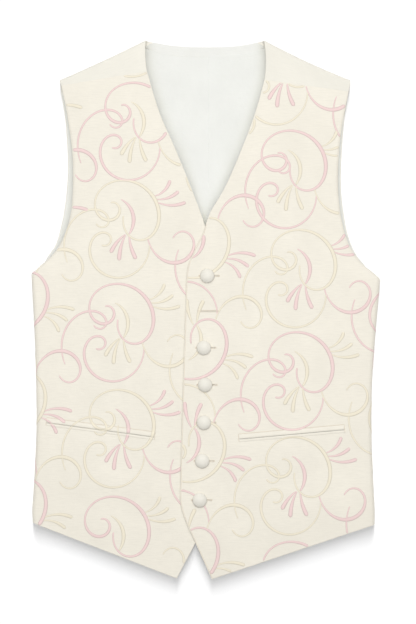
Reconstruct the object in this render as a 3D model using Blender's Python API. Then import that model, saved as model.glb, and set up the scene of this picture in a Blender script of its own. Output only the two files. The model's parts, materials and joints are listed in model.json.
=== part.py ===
"""A cream dress waistcoat laid flat on its back, front side up.

X runs across the garment, Y from hem to shoulders and Z up from the surface it lies on. The
wearer's left front is on the +X side and laps over the right front. Tables and sizes are in
millimetres, and add_object turns them into metres.
"""

import math
from collections import namedtuple

import bmesh
import bpy
import numpy as np
from mathutils import Vector
from mathutils.bvhtree import BVHTree

MM = 0.001

# Walls, and the gap kept where two pieces are sewn together or lie on each other.
FRONT_WALL = 1.8
BACK_WALL = 1.2
LINING_WALL = 1.0
JET_WALL = 1.1
SEAM_GAP = 0.3

# The fronts lie over the back with a soft hollow between, held up by the rolled side edges.
FRONT_TOP = 10.8
SHOULDER_DROP = 1.0
SHOULDER_DROP_LENGTH = 60.0
HEM_DROP = 0.8
HEM_DROP_LENGTH = 45.0
STAND_BLEND = 20.0
OUTER_BLEND = 30.0

# The side edge rolls over in half an ellipse and runs on under the back to the side seam.
SIDE_ROLL_WIDTH = 6.0
SIDE_ROLL_HEIGHT = 5.4
SIDE_WRAP = 6.0
WRAP_SHARE = 60.0  # degrees of the roll's columns that the full wrap takes

# The shoulder rolls over in half an ellipse that ends where the yoke sections begin.
SHOULDER_ROLL_HEIGHT = 4.75
SHOULDER_ROLL_STEPS = 8

# Back neck: a flat curve, y rising from its lowest point to the neck points.
NECK_LOW_X = 2.7
NECK_LOW_Y = 327.0
NECK_POINT_Y = 336.3
NECK_POWER = 2.6
NECK_POINT_X = {"left": 72.9, "right": -75.4}
SHOULDER_END_X = {"left": 181.0, "right": -183.2}
SHOULDER_END_Y = 287.6
SHOULDER_EASE = 0.897
FACING_WIDTH = 12.5
FACING_END_SHARE = 0.87
# Where facing and lining end below the shoulder fold: distance along it from the neck point,
# or from the shoulder end where it is negative, and distance in from it.
FACING_END = (5.0, 6.6)
LINING_END_INNER = (6.0, 7.0)
LINING_END_OUTER = (-2.5, 6.5)

# Back panels and their lining.
CENTRE_BACK_X = 3.2
BACK_HEM_Y = -262.0
LINING_HEM_RISE = 8.0
LINING_INSET = 1.0
LINING_BASE = BACK_WALL + SEAM_GAP
CENTRE_STRIP_WIDTH = 7.5
CENTRE_STRIP_RISE = 0.5
CENTRE_STRIP_EDGE = 0.5

# Mesh density.
ROW_SPACING = 25.0
FRONT_COLUMNS = 16
ROLL_COLUMNS = 8
BACK_COLUMNS = 10
ARMHOLE_PARTS = 2

# Covered buttons, one row per ring from the foot of the thread shank to the crown.
Ring = namedtuple("Ring", "height half_x half_y")
BUTTON_RINGS = (
    Ring(-2.05, 1.5, 0.40),
    Ring(0.05, 1.5, 0.40),
    Ring(0.35, 2.6, 2.2),
    Ring(0.35, 7.6, 7.6),
    Ring(0.95, 8.7, 8.7),
    Ring(1.80, 8.95, 8.95),
    Ring(2.90, 8.3, 8.3),
    Ring(4.10, 6.7, 6.7),
    Ring(5.10, 4.4, 4.4),
    Ring(5.60, 2.0, 2.0),
)
BUTTON_CROWN = 5.75
BUTTON_SEGMENTS = 20
SHARP_ANGLE = math.radians(50.0)
STAND_TOP = 12.1
BUTTONHOLE_LENGTH = 25.0
BUTTONHOLE_WIDTH = 1.2
BUTTONHOLE_RUN_OUT = 15.0
EMPTY_BUTTONHOLE = (3.0, -0.8)
Button = namedtuple("Button", "x y")
BUTTONS = (
    Button(1.7, 43.4),
    Button(-2.6, -46.6),
    Button(-1.0, -92.9),
    Button(-2.6, -140.1),
    Button(-4.6, -188.0),
    Button(-7.7, -236.9),
)

# One row is a section across a front, from its neck or front edge to its armhole or side.
# inner_top is the height of the outer face at the inner end, held over stand millimetres;
# outer_top is its height where the outer edge begins to turn down, through turn degrees.
Section = namedtuple(
    "Section", "inner_x inner_y outer_x outer_y inner_top stand outer_top turn"
)
FRONT_SECTIONS = {
    "left": (
        Section(73.3, 288.8, 178.9, 274.4, 9.0, 0, 9.2, 25),
        Section(62.6, 250.5, 171.5, 236.0, 9.2, 0, 9.0, 42),
        Section(44.1, 200.5, 166.6, 194.0, 9.4, 0, 8.9, 50),
        Section(22.7, 152.0, 165.8, 150.0, 10.6, 6, 8.9, 50),
        Section(3.0, 117.0, 169.3, 118.0, 12.0, 20, 8.9, 50),
        Section(-3.0, 98.0, 172.8, 102.5, 12.1, 34, 8.9, 50),
        Section(-14.8, 74.0, 181.2, 79.0, 12.1, 46, 9.0, 56),
        Section(-21.1, 59.0, 189.0, 67.0, 12.1, 48, 9.4, 68),
        Section(-23.2, 50.0, 198.5, 56.0, 12.1, 48, 9.9, 90),
        Section(-24.2, 43.5, 209.3, 47.5, 12.1, 48, 10.4, 130),
        Section(-24.6, 37.0, 218.5, 39.4, 12.1, 48, 10.8, 180),
        Section(-26.5, -25.0, 212.2, -30.0, 12.1, 48, 10.8, 180),
        Section(-28.6, -93.0, 208.0, -92.0, 12.1, 48, 10.8, 180),
        Section(-30.3, -150.0, 207.4, -145.0, 12.1, 48, 10.8, 180),
        Section(-31.7, -210.0, 208.3, -190.0, 12.1, 48, 10.8, 180),
        Section(-31.4, -243.0, 209.6, -215.0, 12.1, 46, 10.8, 180),
        Section(-26.5, -260.0, 210.3, -228.0, 12.1, 40, 10.8, 180),
        Section(-13.4, -290.0, 211.3, -248.0, 12.1, 20, 10.8, 180),
        Section(7.4, -336.3, 211.3, -268.0, 9.6, 0, 10.8, 180),
    ),
    "right": (
        Section(-73.6, 299.4, -181.1, 281.9, 9.0, 0, 9.2, 25),
        Section(-59.0, 250.5, -173.8, 244.0, 9.2, 0, 9.0, 42),
        Section(-37.4, 200.5, -167.4, 196.0, 9.4, 0, 8.9, 50),
        Section(-15.7, 147.0, -167.0, 148.0, 9.6, 0, 8.9, 50),
        Section(-4.0, 115.0, -169.3, 122.0, 9.7, 10, 8.9, 50),
        Section(1.5, 98.0, -172.8, 107.5, 9.7, 25, 8.9, 50),
        Section(11.8, 74.0, -181.2, 86.0, 9.7, 42, 9.0, 56),
        Section(17.1, 59.0, -188.6, 74.0, 9.7, 48, 9.4, 68),
        Section(18.5, 50.0, -199.0, 63.0, 9.7, 48, 9.9, 90),
        Section(19.1, 43.0, -209.3, 54.0, 9.7, 48, 10.4, 130),
        Section(19.2, 36.0, -218.5, 46.0, 9.7, 48, 10.8, 180),
        Section(17.0, -25.0, -214.4, -30.0, 9.7, 48, 10.8, 180),
        Section(14.7, -93.0, -212.5, -92.0, 9.7, 48, 10.8, 180),
        Section(12.6, -150.0, -212.0, -145.0, 9.7, 48, 10.8, 180),
        Section(10.0, -212.0, -213.8, -190.0, 9.7, 48, 10.8, 180),
        Section(7.9, -242.0, -215.1, -215.0, 9.7, 48, 10.8, 180),
        Section(1.5, -262.0, -216.1, -230.0, 9.7, 42, 10.8, 180),
        Section(-13.4, -291.5, -217.4, -249.5, 9.7, 25, 10.8, 180),
        Section(-36.4, -335.3, -216.6, -265.6, 9.6, 0, 10.8, 180),
    ),
}
ARMPIT_ROW = 10  # the section at the armpit corner, counted from 0

# Armhole side of the back, one row per section, with where it leaves the centre back.
BackSection = namedtuple("BackSection", "centre_y outer_x outer_y")
BACK_ARMHOLE = {
    "left": (
        BackSection(57.0, 199.5, 56.0),
        BackSection(80.0, 188.0, 70.5),
        BackSection(110.0, 178.5, 93.0),
        BackSection(150.0, 173.0, 120.0),
        BackSection(200.0, 169.5, 152.0),
        BackSection(260.0, 169.9, 188.0),
        BackSection(NECK_LOW_Y, 172.5, 230.0),
    ),
    "right": (
        BackSection(64.0, -200.5, 64.0),
        BackSection(86.0, -188.5, 82.0),
        BackSection(115.0, -181.9, 104.0),
        BackSection(150.0, -177.4, 126.0),
        BackSection(200.0, -174.0, 156.0),
        BackSection(260.0, -173.0, 188.0),
        BackSection(NECK_LOW_Y, -175.3, 230.0),
    ),
}
# The sections that leave from the neck curve instead, share of the way to the neck point.
NeckSection = namedtuple("NeckSection", "share outer_x outer_y")
BACK_NECK = {
    "left": (
        NeckSection(0.20, 173.7, 241.0),
        NeckSection(0.39, 175.0, 250.5),
        NeckSection(0.57, 176.5, 259.5),
        NeckSection(0.74, 178.0, 268.0),
    ),
    "right": (
        NeckSection(0.20, -176.5, 241.0),
        NeckSection(0.39, -177.8, 250.5),
        NeckSection(0.57, -179.2, 259.5),
        NeckSection(0.74, -180.8, 268.0),
    ),
}
# The yoke on top, from the end of the shoulder roll towards the forward seam.
YokeSection = namedtuple("YokeSection", "inner_x inner_y outer_x outer_y")
YOKE_SECTIONS = {
    "left": (
        YokeSection(73.6, 331.0, 180.5, 284.4),
        YokeSection(75.0, 317.0, 180.2, 281.2),
        YokeSection(74.8, 303.0, 179.6, 277.9),
    ),
    "right": (
        YokeSection(-75.9, 331.0, -182.5, 284.6),
        YokeSection(-75.7, 320.0, -182.1, 283.8),
        YokeSection(-75.0, 309.0, -181.6, 283.0),
    ),
}

# Soft folds of the fronts: middle, half length, half width, direction in degrees and rise.
Fold = namedtuple("Fold", "x y half_length half_width direction rise")
FOLDS = {
    "left": (
        Fold(186.0, -20.0, 60.0, 11.0, 84.0, 0.9),
        Fold(163.0, -35.0, 55.0, 13.0, 74.0, -0.9),
        Fold(140.0, 10.0, 50.0, 16.0, 62.0, 0.7),
        Fold(178.0, -110.0, 45.0, 9.0, 96.0, -0.8),
        Fold(120.0, 215.0, 40.0, 14.0, 105.0, 0.7),
        Fold(62.0, 120.0, 45.0, 12.0, 128.0, -0.6),
        Fold(110.0, -205.0, 55.0, 16.0, 12.0, -0.7),
        Fold(150.0, -240.0, 45.0, 14.0, 18.0, 0.6),
    ),
    "right": (
        Fold(-190.0, -15.0, 60.0, 10.0, 92.0, 0.8),
        Fold(-168.0, -60.0, 60.0, 13.0, 104.0, -0.8),
        Fold(-135.0, 25.0, 45.0, 15.0, 118.0, 0.6),
        Fold(-185.0, -205.0, 40.0, 10.0, 86.0, -0.8),
        Fold(-118.0, 190.0, 45.0, 14.0, 78.0, -0.7),
        Fold(-60.0, 110.0, 50.0, 12.0, 55.0, 0.6),
        Fold(-105.0, -215.0, 60.0, 16.0, 168.0, 0.7),
        Fold(-75.0, -262.0, 40.0, 12.0, 160.0, -0.6),
    ),
}
FOLD_MARGIN = 22.0

# Pocket mouths, and the bands sewn along them.
Mouth = namedtuple("Mouth", "start_x start_y end_x end_y")
POCKET_MOUTHS = {
    "left": Mouth(41.3, -161.1, 173.4, -149.3),
    "right": Mouth(-64.1, -158.5, -199.5, -140.6),
}
Jet = namedtuple("Jet", "name near far")
JETS = (Jet("upper", 0.4, 6.6), Jet("lower", -0.4, -3.4))
JET_STEPS = 12
JET_PROFILE = ((0.0, 0.5), (0.2, 1.0), (0.8, 1.0), (1.0, 0.5))

# Colours: base colour, roughness.
CREAM_CLOTH = ((0.88, 0.85, 0.76, 1.0), 0.55)
YOKE_CLOTH = ((0.90, 0.87, 0.79, 1.0), 0.60)
WHITE_LINING = ((0.90, 0.90, 0.86, 1.0), 0.45)
FACING_CLOTH = ((0.88, 0.87, 0.82, 1.0), 0.55)
BUTTON_CLOTH = ((0.82, 0.82, 0.73, 1.0), 0.50)


def clear_scene():
    for item in list(bpy.data.objects):
        bpy.data.objects.remove(item, do_unlink=True)


def material(name, finish):
    colour, roughness = finish
    made = bpy.data.materials.new(name)
    made.use_nodes = True
    shader = made.node_tree.nodes["Principled BSDF"]
    shader.inputs["Base Color"].default_value = colour
    shader.inputs["Roughness"].default_value = roughness
    shader.inputs["Metallic"].default_value = 0.0
    made.diffuse_color = colour
    return made


def smooth(value):
    """0 below 0, 1 above 1, and an S-curve with level ends between."""
    value = np.clip(value, 0.0, 1.0)
    return value * value * (3.0 - 2.0 * value)


def side_sign(side):
    return 1.0 if side == "left" else -1.0


def add_object(name, bm, finish):
    """Adds the bmesh, given in millimetres, as one smooth-shaded object in metres."""
    bmesh.ops.recalc_face_normals(bm, faces=bm.faces)
    bmesh.ops.scale(bm, vec=Vector((MM, MM, MM)), verts=bm.verts)
    mesh = bpy.data.meshes.new(name)
    bm.to_mesh(mesh)
    bm.free()
    mesh.shade_smooth()
    mesh.set_sharp_from_angle(angle=SHARP_ANGLE)
    mesh.materials.append(material(name, finish))
    made = bpy.data.objects.new(name, mesh)
    bpy.context.scene.collection.objects.link(made)
    return made


def add_shell(name, outer, inner, finish):
    """A closed wall between two grids of points with the same rows and columns."""
    rows, columns = outer.shape[:2]
    bm = bmesh.new()
    faces = []
    for grid in (outer, inner):
        faces.append([[bm.verts.new(point) for point in row] for row in grid])
    top, under = faces
    for r in range(rows - 1):
        for c in range(columns - 1):
            bm.faces.new((top[r][c], top[r][c + 1], top[r + 1][c + 1], top[r + 1][c]))
            bm.faces.new((under[r][c], under[r + 1][c], under[r + 1][c + 1], under[r][c + 1]))
    rim = [(0, c) for c in range(columns)]
    rim += [(r, columns - 1) for r in range(1, rows)]
    rim += [(rows - 1, c) for c in range(columns - 2, -1, -1)]
    rim += [(r, 0) for r in range(rows - 2, 0, -1)]
    for (r0, c0), (r1, c1) in zip(rim, rim[1:] + rim[:1]):
        bm.faces.new((top[r0][c0], under[r0][c0], under[r1][c1], top[r1][c1]))
    return add_object(name, bm, finish)


def grid_normals(grid, upward_at):
    """Unit normals of a grid of points, turned so that the one at upward_at points up."""
    down_rows = np.gradient(grid, axis=0)
    along_columns = np.gradient(grid, axis=1)
    normals = np.cross(along_columns, down_rows)
    normals /= np.linalg.norm(normals, axis=2, keepdims=True)
    return normals * np.sign(normals[upward_at][2])


def through_points(knots, values, places):
    """A smooth curve through the values: cubic pieces whose slope is that of the neighbours."""
    slopes = np.gradient(values, knots, axis=0)
    index = np.clip(np.searchsorted(knots, places, side="right") - 1, 0, len(knots) - 2)
    width = (knots[index + 1] - knots[index])[:, None]
    t = (places - knots[index])[:, None] / width
    return (
        (1 + 2 * t) * (1 - t) ** 2 * values[index]
        + t * (1 - t) ** 2 * width * slopes[index]
        + t * t * (3 - 2 * t) * values[index + 1]
        - t * t * (1 - t) * width * slopes[index + 1]
    )


def refined_sections(side):
    """The front's sections with more between them, the plan smooth on each side of the armpit.

    Returns one row per section: the eight columns of Section, then the distance from the
    shoulder seam.
    """
    table = np.array(FRONT_SECTIONS[side], float)
    steps = 0.5 * (
        np.hypot(*np.diff(table[:, 0:2], axis=0).T) + np.hypot(*np.diff(table[:, 2:4], axis=0).T)
    )
    knots = np.concatenate([[0.0], np.cumsum(steps)])
    places = [0.0]
    for start, step in zip(knots, steps):
        parts = max(1, round(step / ROW_SPACING))
        places += [start + step * (part + 1) / parts for part in range(parts)]
    places = np.array(places)
    upper = places <= knots[ARMPIT_ROW] + 1e-6
    plan = np.concatenate(
        [
            through_points(knots[: ARMPIT_ROW + 1], table[: ARMPIT_ROW + 1, :4], places[upper]),
            through_points(knots[ARMPIT_ROW:], table[ARMPIT_ROW:, :4], places[~upper]),
        ]
    )
    heights = np.stack([np.interp(places, knots, table[:, c]) for c in range(4, 8)], axis=1)
    return np.column_stack([plan, heights, places])


def middle_top(place, length):
    """Height of the middle of a section, a little lower at the shoulder seam and the hem."""
    at_shoulder = 1.0 - smooth(place / SHOULDER_DROP_LENGTH)
    at_hem = 1.0 - smooth((length - place) / HEM_DROP_LENGTH)
    return FRONT_TOP - SHOULDER_DROP * at_shoulder - HEM_DROP * at_hem


def fold_rise(side, x, y, margin):
    """The folds' rise at plan points: each is a soft ridge or trough, faded out at the edges."""
    rise = np.zeros_like(x)
    for fold in FOLDS[side]:
        turn = math.radians(fold.direction)
        along = (x - fold.x) * math.cos(turn) + (y - fold.y) * math.sin(turn)
        across = (y - fold.y) * math.cos(turn) - (x - fold.x) * math.sin(turn)
        shape = (along / fold.half_length) ** 2 + (across / fold.half_width) ** 2
        rise += fold.rise * np.exp(-shape)
    return rise * margin


def section_top(row, middle, from_inner, to_turn):
    """Height across a section: inner_top, then the middle, then outer_top at the turned edge."""
    inner_top, stand, outer_top = row[4:7]
    inner_share = 1.0 - smooth((from_inner - stand) / STAND_BLEND)
    outer_share = 1.0 - smooth(to_turn / OUTER_BLEND)
    return middle + (inner_top - middle) * inner_share + (outer_top - middle) * outer_share


def front_grid(side):
    """Outer face of a front: rows from shoulder seam to hem, columns from inner to outer edge."""
    rows = refined_sections(side)
    length = rows[-1, 8]
    grid = []
    for row in rows:
        inner, outer, stand, turn = row[0:2], row[2:4], row[5], row[7]
        width = np.linalg.norm(outer - inner)
        ahead = (outer - inner) / width
        top_width = width - SIDE_ROLL_WIDTH * math.sin(math.radians(min(turn, 90.0)))
        along = np.linspace(0.0, top_width, FRONT_COLUMNS + 1)
        to_turn = top_width - along
        plan = inner + along[:, None] * ahead
        top = section_top(row, middle_top(row[8], length), along, to_turn)
        margin = smooth((along - stand) / FOLD_MARGIN) * smooth(to_turn / FOLD_MARGIN)
        top += fold_rise(side, plan[:, 0], plan[:, 1], margin)

        wrap = WRAP_SHARE * np.clip(turn / 90.0 - 1.0, 0.0, 1.0)
        steps = np.linspace(0.0, turn + wrap, ROLL_COLUMNS + 1)[1:]
        angles = np.radians(np.minimum(steps, turn))
        run = SIDE_WRAP * np.maximum(steps - turn, 0.0) / WRAP_SHARE
        out = top_width + SIDE_ROLL_WIDTH * np.sin(angles) - run
        roll = inner + out[:, None] * ahead
        height = top[-1] - SIDE_ROLL_HEIGHT * (1.0 - np.cos(angles))
        heights = np.concatenate([top, np.maximum(height, 0.0)])
        grid.append(np.column_stack([np.concatenate([plan, roll]), heights]))
    return np.array(grid)


def surface_height(grid):
    """A function that gives the height of a grid's upper face at a plan point."""
    rows, columns = grid.shape[:2]
    faces = [
        (r * columns + c, r * columns + c + 1, (r + 1) * columns + c + 1, (r + 1) * columns + c)
        for r in range(rows - 1)
        for c in range(columns - 1)
    ]
    tree = BVHTree.FromPolygons([tuple(point) for point in grid.reshape(-1, 3)], faces)

    def height(x, y):
        return tree.ray_cast(Vector((x, y, 100.0)), Vector((0.0, 0.0, -1.0)))[0].z

    return height


def neck_point(side, share):
    """A point of the back neck edge, from its lowest point at 0 to the neck point at 1."""
    x = NECK_LOW_X + share * (NECK_POINT_X[side] - NECK_LOW_X)
    y = NECK_LOW_Y + share**NECK_POWER * (NECK_POINT_Y - NECK_LOW_Y)
    return np.array([x, y])


def facing_point(side, share, width):
    """A point of the facing's lower edge: the neck edge moved in, square to the curve."""
    ahead = neck_point(side, share + 0.01) - neck_point(side, max(share - 0.01, 0.0))
    ahead /= np.linalg.norm(ahead)
    inward = np.array([ahead[1], -ahead[0]]) * side_sign(side)
    return neck_point(side, share) + width * inward


def fold_line(side, along, inward):
    """A point beside the shoulder fold: along it from the neck point, and in from it."""
    start = np.array([NECK_POINT_X[side], NECK_POINT_Y])
    end = np.array([SHOULDER_END_X[side], SHOULDER_END_Y])
    ahead = (end - start) / np.linalg.norm(end - start)
    square = np.array([ahead[1], -ahead[0]]) * side_sign(side)
    if along < 0.0:
        return end + along * ahead + inward * square
    return start + along * ahead + inward * square


def side_seam_rows(side):
    """Points of the back's side edge, hem first: the ends of the front's wrap, moved in."""
    turned = refined_sections(side)[:, 7] >= 180.0
    ends = front_grid(side)[turned][::-1, -1, :2]
    ends[:, 0] -= side_sign(side) * SEAM_GAP
    above = ends[ends[:, 1] > BACK_HEM_Y]
    hem_x = np.interp(BACK_HEM_Y, ends[:, 1], ends[:, 0])
    return [(hem_x, BACK_HEM_Y), *above]


def flat_back_rows(side):
    """Ends of the back's flat sections, from hem to the start of the shoulder roll."""
    centre = CENTRE_BACK_X + side_sign(side) * SEAM_GAP / 2
    seam = side_seam_rows(side)
    rows = [((centre, y), (x, y)) for x, y in seam[:-1]]
    armhole = np.array([(seam[-1][1], *seam[-1]), *BACK_ARMHOLE[side]])
    knots = np.arange(len(armhole), dtype=float)
    places = np.linspace(0.0, knots[-1], ARMHOLE_PARTS * (len(armhole) - 1) + 1)
    rows += [((centre, row[0]), row[1:]) for row in through_points(knots, armhole, places)]
    rows += [(neck_point(side, row.share), row[1:]) for row in BACK_NECK[side]]
    return [(np.array(inner, float), np.array(outer, float)) for inner, outer in rows]


def back_grid(side):
    """Outer face of a back half: flat from the hem up, over the shoulder and down the yoke."""
    shares = np.linspace(0.0, 1.0, BACK_COLUMNS + 1)[:, None]
    grid = []
    for inner, outer in flat_back_rows(side):
        plan = inner + shares * (outer - inner)
        grid.append(np.column_stack([plan, np.zeros(len(plan))]))

    neck = np.array([NECK_POINT_X[side], NECK_POINT_Y])
    shoulder = np.array([SHOULDER_END_X[side], SHOULDER_END_Y])
    first = YOKE_SECTIONS[side][0]
    upper_inner = np.array(first[0:2]) - neck
    upper_outer = np.array(first[2:4]) - shoulder
    lower_inner = neck_point(side, SHOULDER_EASE) - neck
    for angle in np.linspace(0.0, math.pi, SHOULDER_ROLL_STEPS + 1):
        inward = 1.0 - math.sin(angle)
        below = angle < math.pi / 2
        inner = neck + inward * (lower_inner if below else upper_inner)
        outer = shoulder + inward * upper_outer
        plan = inner + shares * (outer - inner)
        height = SHOULDER_ROLL_HEIGHT * (1.0 - math.cos(angle))
        grid.append(np.column_stack([plan, np.full(len(plan), height)]))

    sections = refined_sections(side)
    seam, length = sections[0], sections[-1, 8]
    seam_line = YokeSection(seam[0], seam[1] + SEAM_GAP, seam[2], seam[3] + SEAM_GAP)
    yoke = (*YOKE_SECTIONS[side][1:], seam_line)
    for count, row in enumerate(yoke, start=1):
        inner, outer = np.array(row[0:2]), np.array(row[2:4])
        plan = inner + shares * (outer - inner)
        width = np.linalg.norm(outer - inner)
        along = shares[:, 0] * width
        seam_top = section_top(seam, middle_top(0.0, length), along, width - along)
        roll_top = 2.0 * SHOULDER_ROLL_HEIGHT
        top = roll_top + (seam_top - roll_top) * count / len(yoke)
        grid.append(np.column_stack([plan, top]))
    return np.array(grid)


def lining_rows(side):
    """Ends of the lining's sections: the back's, set in, and below the neck facing."""
    sign = side_sign(side)
    rows = []
    for inner, outer in flat_back_rows(side):
        outer = outer - np.array([sign * LINING_INSET, 0.0])
        if inner[1] <= BACK_HEM_Y:
            rise = np.array([0.0, LINING_HEM_RISE])
            inner, outer = inner + rise, outer + rise
        rows.append((inner, outer))
    below = FACING_WIDTH + SEAM_GAP
    centre = np.array([rows[0][0][0], NECK_LOW_Y - below])
    neck_rows = len(BACK_NECK[side])
    rows[-neck_rows - 1] = (centre, rows[-neck_rows - 1][1])
    for at, row in enumerate(BACK_NECK[side]):
        place = at - neck_rows
        rows[place] = (facing_point(side, row.share, below), rows[place][1])
    rows.append((fold_line(side, *LINING_END_INNER), fold_line(side, *LINING_END_OUTER)))
    return rows


def lining_grids(side):
    """Upper and under face of a lining half; the left half has a pressed strip at the centre."""
    upper, under = [], []
    for inner, outer in lining_rows(side):
        width = np.linalg.norm(outer - inner)
        along = np.linspace(0.0, width, BACK_COLUMNS + 1)
        rise = np.zeros(len(along))
        if side == "left":
            strip = (0.0, CENTRE_STRIP_EDGE, CENTRE_STRIP_WIDTH - CENTRE_STRIP_EDGE)
            rest = np.linspace(CENTRE_STRIP_WIDTH, width, BACK_COLUMNS - 1)
            along = np.concatenate([strip, rest])
            rise = np.where((along > 0.0) & (along < CENTRE_STRIP_WIDTH), CENTRE_STRIP_RISE, 0.0)
        plan = inner + along[:, None] * (outer - inner) / width
        base = np.full(len(plan), LINING_BASE)
        under.append(np.column_stack([plan, base]))
        upper.append(np.column_stack([plan, base + LINING_WALL + rise]))
    return np.array(upper), np.array(under)


def facing_grids():
    """Upper and under face of the neck facing, one band from shoulder to shoulder."""
    ends = []
    for side in ("right", "left"):
        shares = [0.0] + [row.share for row in BACK_NECK[side]]
        half = [(neck_point(side, s), facing_point(side, s, FACING_WIDTH)) for s in shares]
        half.append((neck_point(side, FACING_END_SHARE), fold_line(side, *FACING_END)))
        ends += half[::-1] if side == "right" else half[1:]
    upper, under = [], []
    for edge, lower in ends:
        plan = np.array([edge, (edge + lower) / 2, lower])
        under.append(np.column_stack([plan, np.full(3, LINING_BASE)]))
        upper.append(np.column_stack([plan, np.full(3, LINING_BASE + LINING_WALL)]))
    return np.array(upper), np.array(under)


def jet_grids(side, jet, height):
    """Upper and under face of one band along a pocket mouth, laid on the front."""
    mouth = POCKET_MOUTHS[side]
    start, end = np.array(mouth[0:2]), np.array(mouth[2:4])
    ahead = (end - start) / np.linalg.norm(end - start)
    up = np.array([-ahead[1], ahead[0]]) * side_sign(side)
    upper, under = [], []
    for share in np.linspace(0.0, 1.0, JET_STEPS + 1):
        row = []
        for across, thickness in JET_PROFILE:
            plan = start + share * (end - start) + up * (jet.near + across * (jet.far - jet.near))
            base = height(*plan) + SEAM_GAP
            row.append((*plan, base, base + thickness * JET_WALL))
        row = np.array(row)
        under.append(row[:, [0, 1, 2]])
        upper.append(row[:, [0, 1, 3]])
    return np.array(upper), np.array(under)


def add_fronts():
    for side in ("left", "right"):
        grid = front_grid(side)
        normals = grid_normals(grid, (len(grid) // 2, FRONT_COLUMNS // 2))
        front = add_shell(f"front_{side}", grid, grid - FRONT_WALL * normals, CREAM_CLOTH)
        if side == "left":
            cut_buttonholes(front)
        height = surface_height(grid)
        for jet in JETS:
            upper, under = jet_grids(side, jet, height)
            add_shell(f"pocket_{side}_{jet.name}_jet", upper, under, CREAM_CLOTH)


def add_backs():
    for side in ("left", "right"):
        grid = back_grid(side)
        normals = -grid_normals(grid, (2, BACK_COLUMNS // 2))
        add_shell(f"back_{side}", grid, grid - BACK_WALL * normals, YOKE_CLOTH)
        upper, under = lining_grids(side)
        add_shell(f"back_lining_{side}", upper, under, WHITE_LINING)
    upper, under = facing_grids()
    add_shell("back_neck_facing", upper, under, FACING_CLOTH)


def apply_cut(front):
    """Makes the cut part of the mesh, so that the slits' rims are shaded sharp."""
    graph = bpy.context.evaluated_depsgraph_get()
    mesh = bpy.data.meshes.new_from_object(front.evaluated_get(graph))
    front.modifiers.clear()
    front.data = mesh
    mesh.set_sharp_from_angle(angle=SHARP_ANGLE)


def cut_buttonholes(front):
    """Slits through the overlapping front, each running out past its button."""
    bm = bmesh.new()
    offset = BUTTONHOLE_RUN_OUT - BUTTONHOLE_LENGTH / 2
    middles = [(button.x + offset, button.y) for button in BUTTONS] + [EMPTY_BUTTONHOLE]
    for x, y in middles:
        made = bmesh.ops.create_cube(bm, size=1.0)["verts"]
        bmesh.ops.scale(bm, vec=(BUTTONHOLE_LENGTH, BUTTONHOLE_WIDTH, 3.0 * FRONT_WALL), verts=made)
        bmesh.ops.translate(bm, vec=(x, y, STAND_TOP - FRONT_WALL / 2), verts=made)
    cutter = add_object("buttonhole_cutter", bm, CREAM_CLOTH)
    cutter.hide_render = True
    cutter.display_type = "WIRE"
    cut = front.modifiers.new("buttonholes", "BOOLEAN")
    cut.operation = "DIFFERENCE"
    cut.object = cutter
    apply_cut(front)


def add_buttons():
    """Domed covered buttons on flat thread shanks that stand in the slits."""
    angles = np.linspace(0.0, 2.0 * math.pi, BUTTON_SEGMENTS, endpoint=False)
    for number, button in enumerate(BUTTONS, start=1):
        bm = bmesh.new()
        loops = []
        for ring in BUTTON_RINGS:
            x = button.x + ring.half_x * np.cos(angles)
            y = button.y + ring.half_y * np.sin(angles)
            z = np.full(BUTTON_SEGMENTS, STAND_TOP + ring.height)
            loops.append([bm.verts.new(point) for point in zip(x, y, z)])
        for lower, upper in zip(loops, loops[1:]):
            for at in range(BUTTON_SEGMENTS):
                after = (at + 1) % BUTTON_SEGMENTS
                bm.faces.new((lower[at], lower[after], upper[after], upper[at]))
        bm.faces.new(loops[0][::-1])
        crown = bm.verts.new((button.x, button.y, STAND_TOP + BUTTON_CROWN))
        for at in range(BUTTON_SEGMENTS):
            bm.faces.new((loops[-1][at], loops[-1][(at + 1) % BUTTON_SEGMENTS], crown))
        add_object(f"button_{number}", bm, BUTTON_CLOTH)


def main():
    clear_scene()
    add_backs()
    add_fronts()
    add_buttons()


main()
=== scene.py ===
"""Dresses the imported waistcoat: cream slubbed cloth embroidered in pink and gold, laid flat.

X runs across the garment, Y from hem to shoulders and Z up from the floor. The wearer's left
front is on the +X side and laps over the right one. Tables and sizes are in millimetres and
degrees, and add_mesh_object turns them into metres.
"""

import json
import math
from collections import namedtuple

import bpy
import numpy as np
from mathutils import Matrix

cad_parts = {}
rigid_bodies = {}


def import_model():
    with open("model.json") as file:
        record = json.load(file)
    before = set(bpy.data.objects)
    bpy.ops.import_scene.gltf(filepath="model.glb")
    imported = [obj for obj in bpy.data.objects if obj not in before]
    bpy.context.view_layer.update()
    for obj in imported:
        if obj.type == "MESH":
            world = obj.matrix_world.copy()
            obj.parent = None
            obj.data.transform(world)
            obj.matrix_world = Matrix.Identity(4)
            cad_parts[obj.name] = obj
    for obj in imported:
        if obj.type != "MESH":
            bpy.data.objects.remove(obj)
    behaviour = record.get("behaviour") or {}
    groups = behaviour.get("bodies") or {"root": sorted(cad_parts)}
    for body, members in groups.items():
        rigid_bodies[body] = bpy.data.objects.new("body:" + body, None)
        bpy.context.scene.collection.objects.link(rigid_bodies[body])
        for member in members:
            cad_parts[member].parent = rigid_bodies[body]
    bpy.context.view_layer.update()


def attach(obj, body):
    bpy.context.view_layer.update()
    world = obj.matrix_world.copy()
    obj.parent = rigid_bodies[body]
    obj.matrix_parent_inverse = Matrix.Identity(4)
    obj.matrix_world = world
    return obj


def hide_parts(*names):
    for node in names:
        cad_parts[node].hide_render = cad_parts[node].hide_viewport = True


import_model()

bl_info = {
    "name": "Embroidered waistcoat",
    "version": (1, 0, 0),
    "blender": (4, 5, 0),
    "location": "3D View > Sidebar > Waistcoat",
    "description": "Builds the cloth, embroidery, pockets and buttons of a waistcoat laid flat",
    "category": "Object",
}

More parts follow.
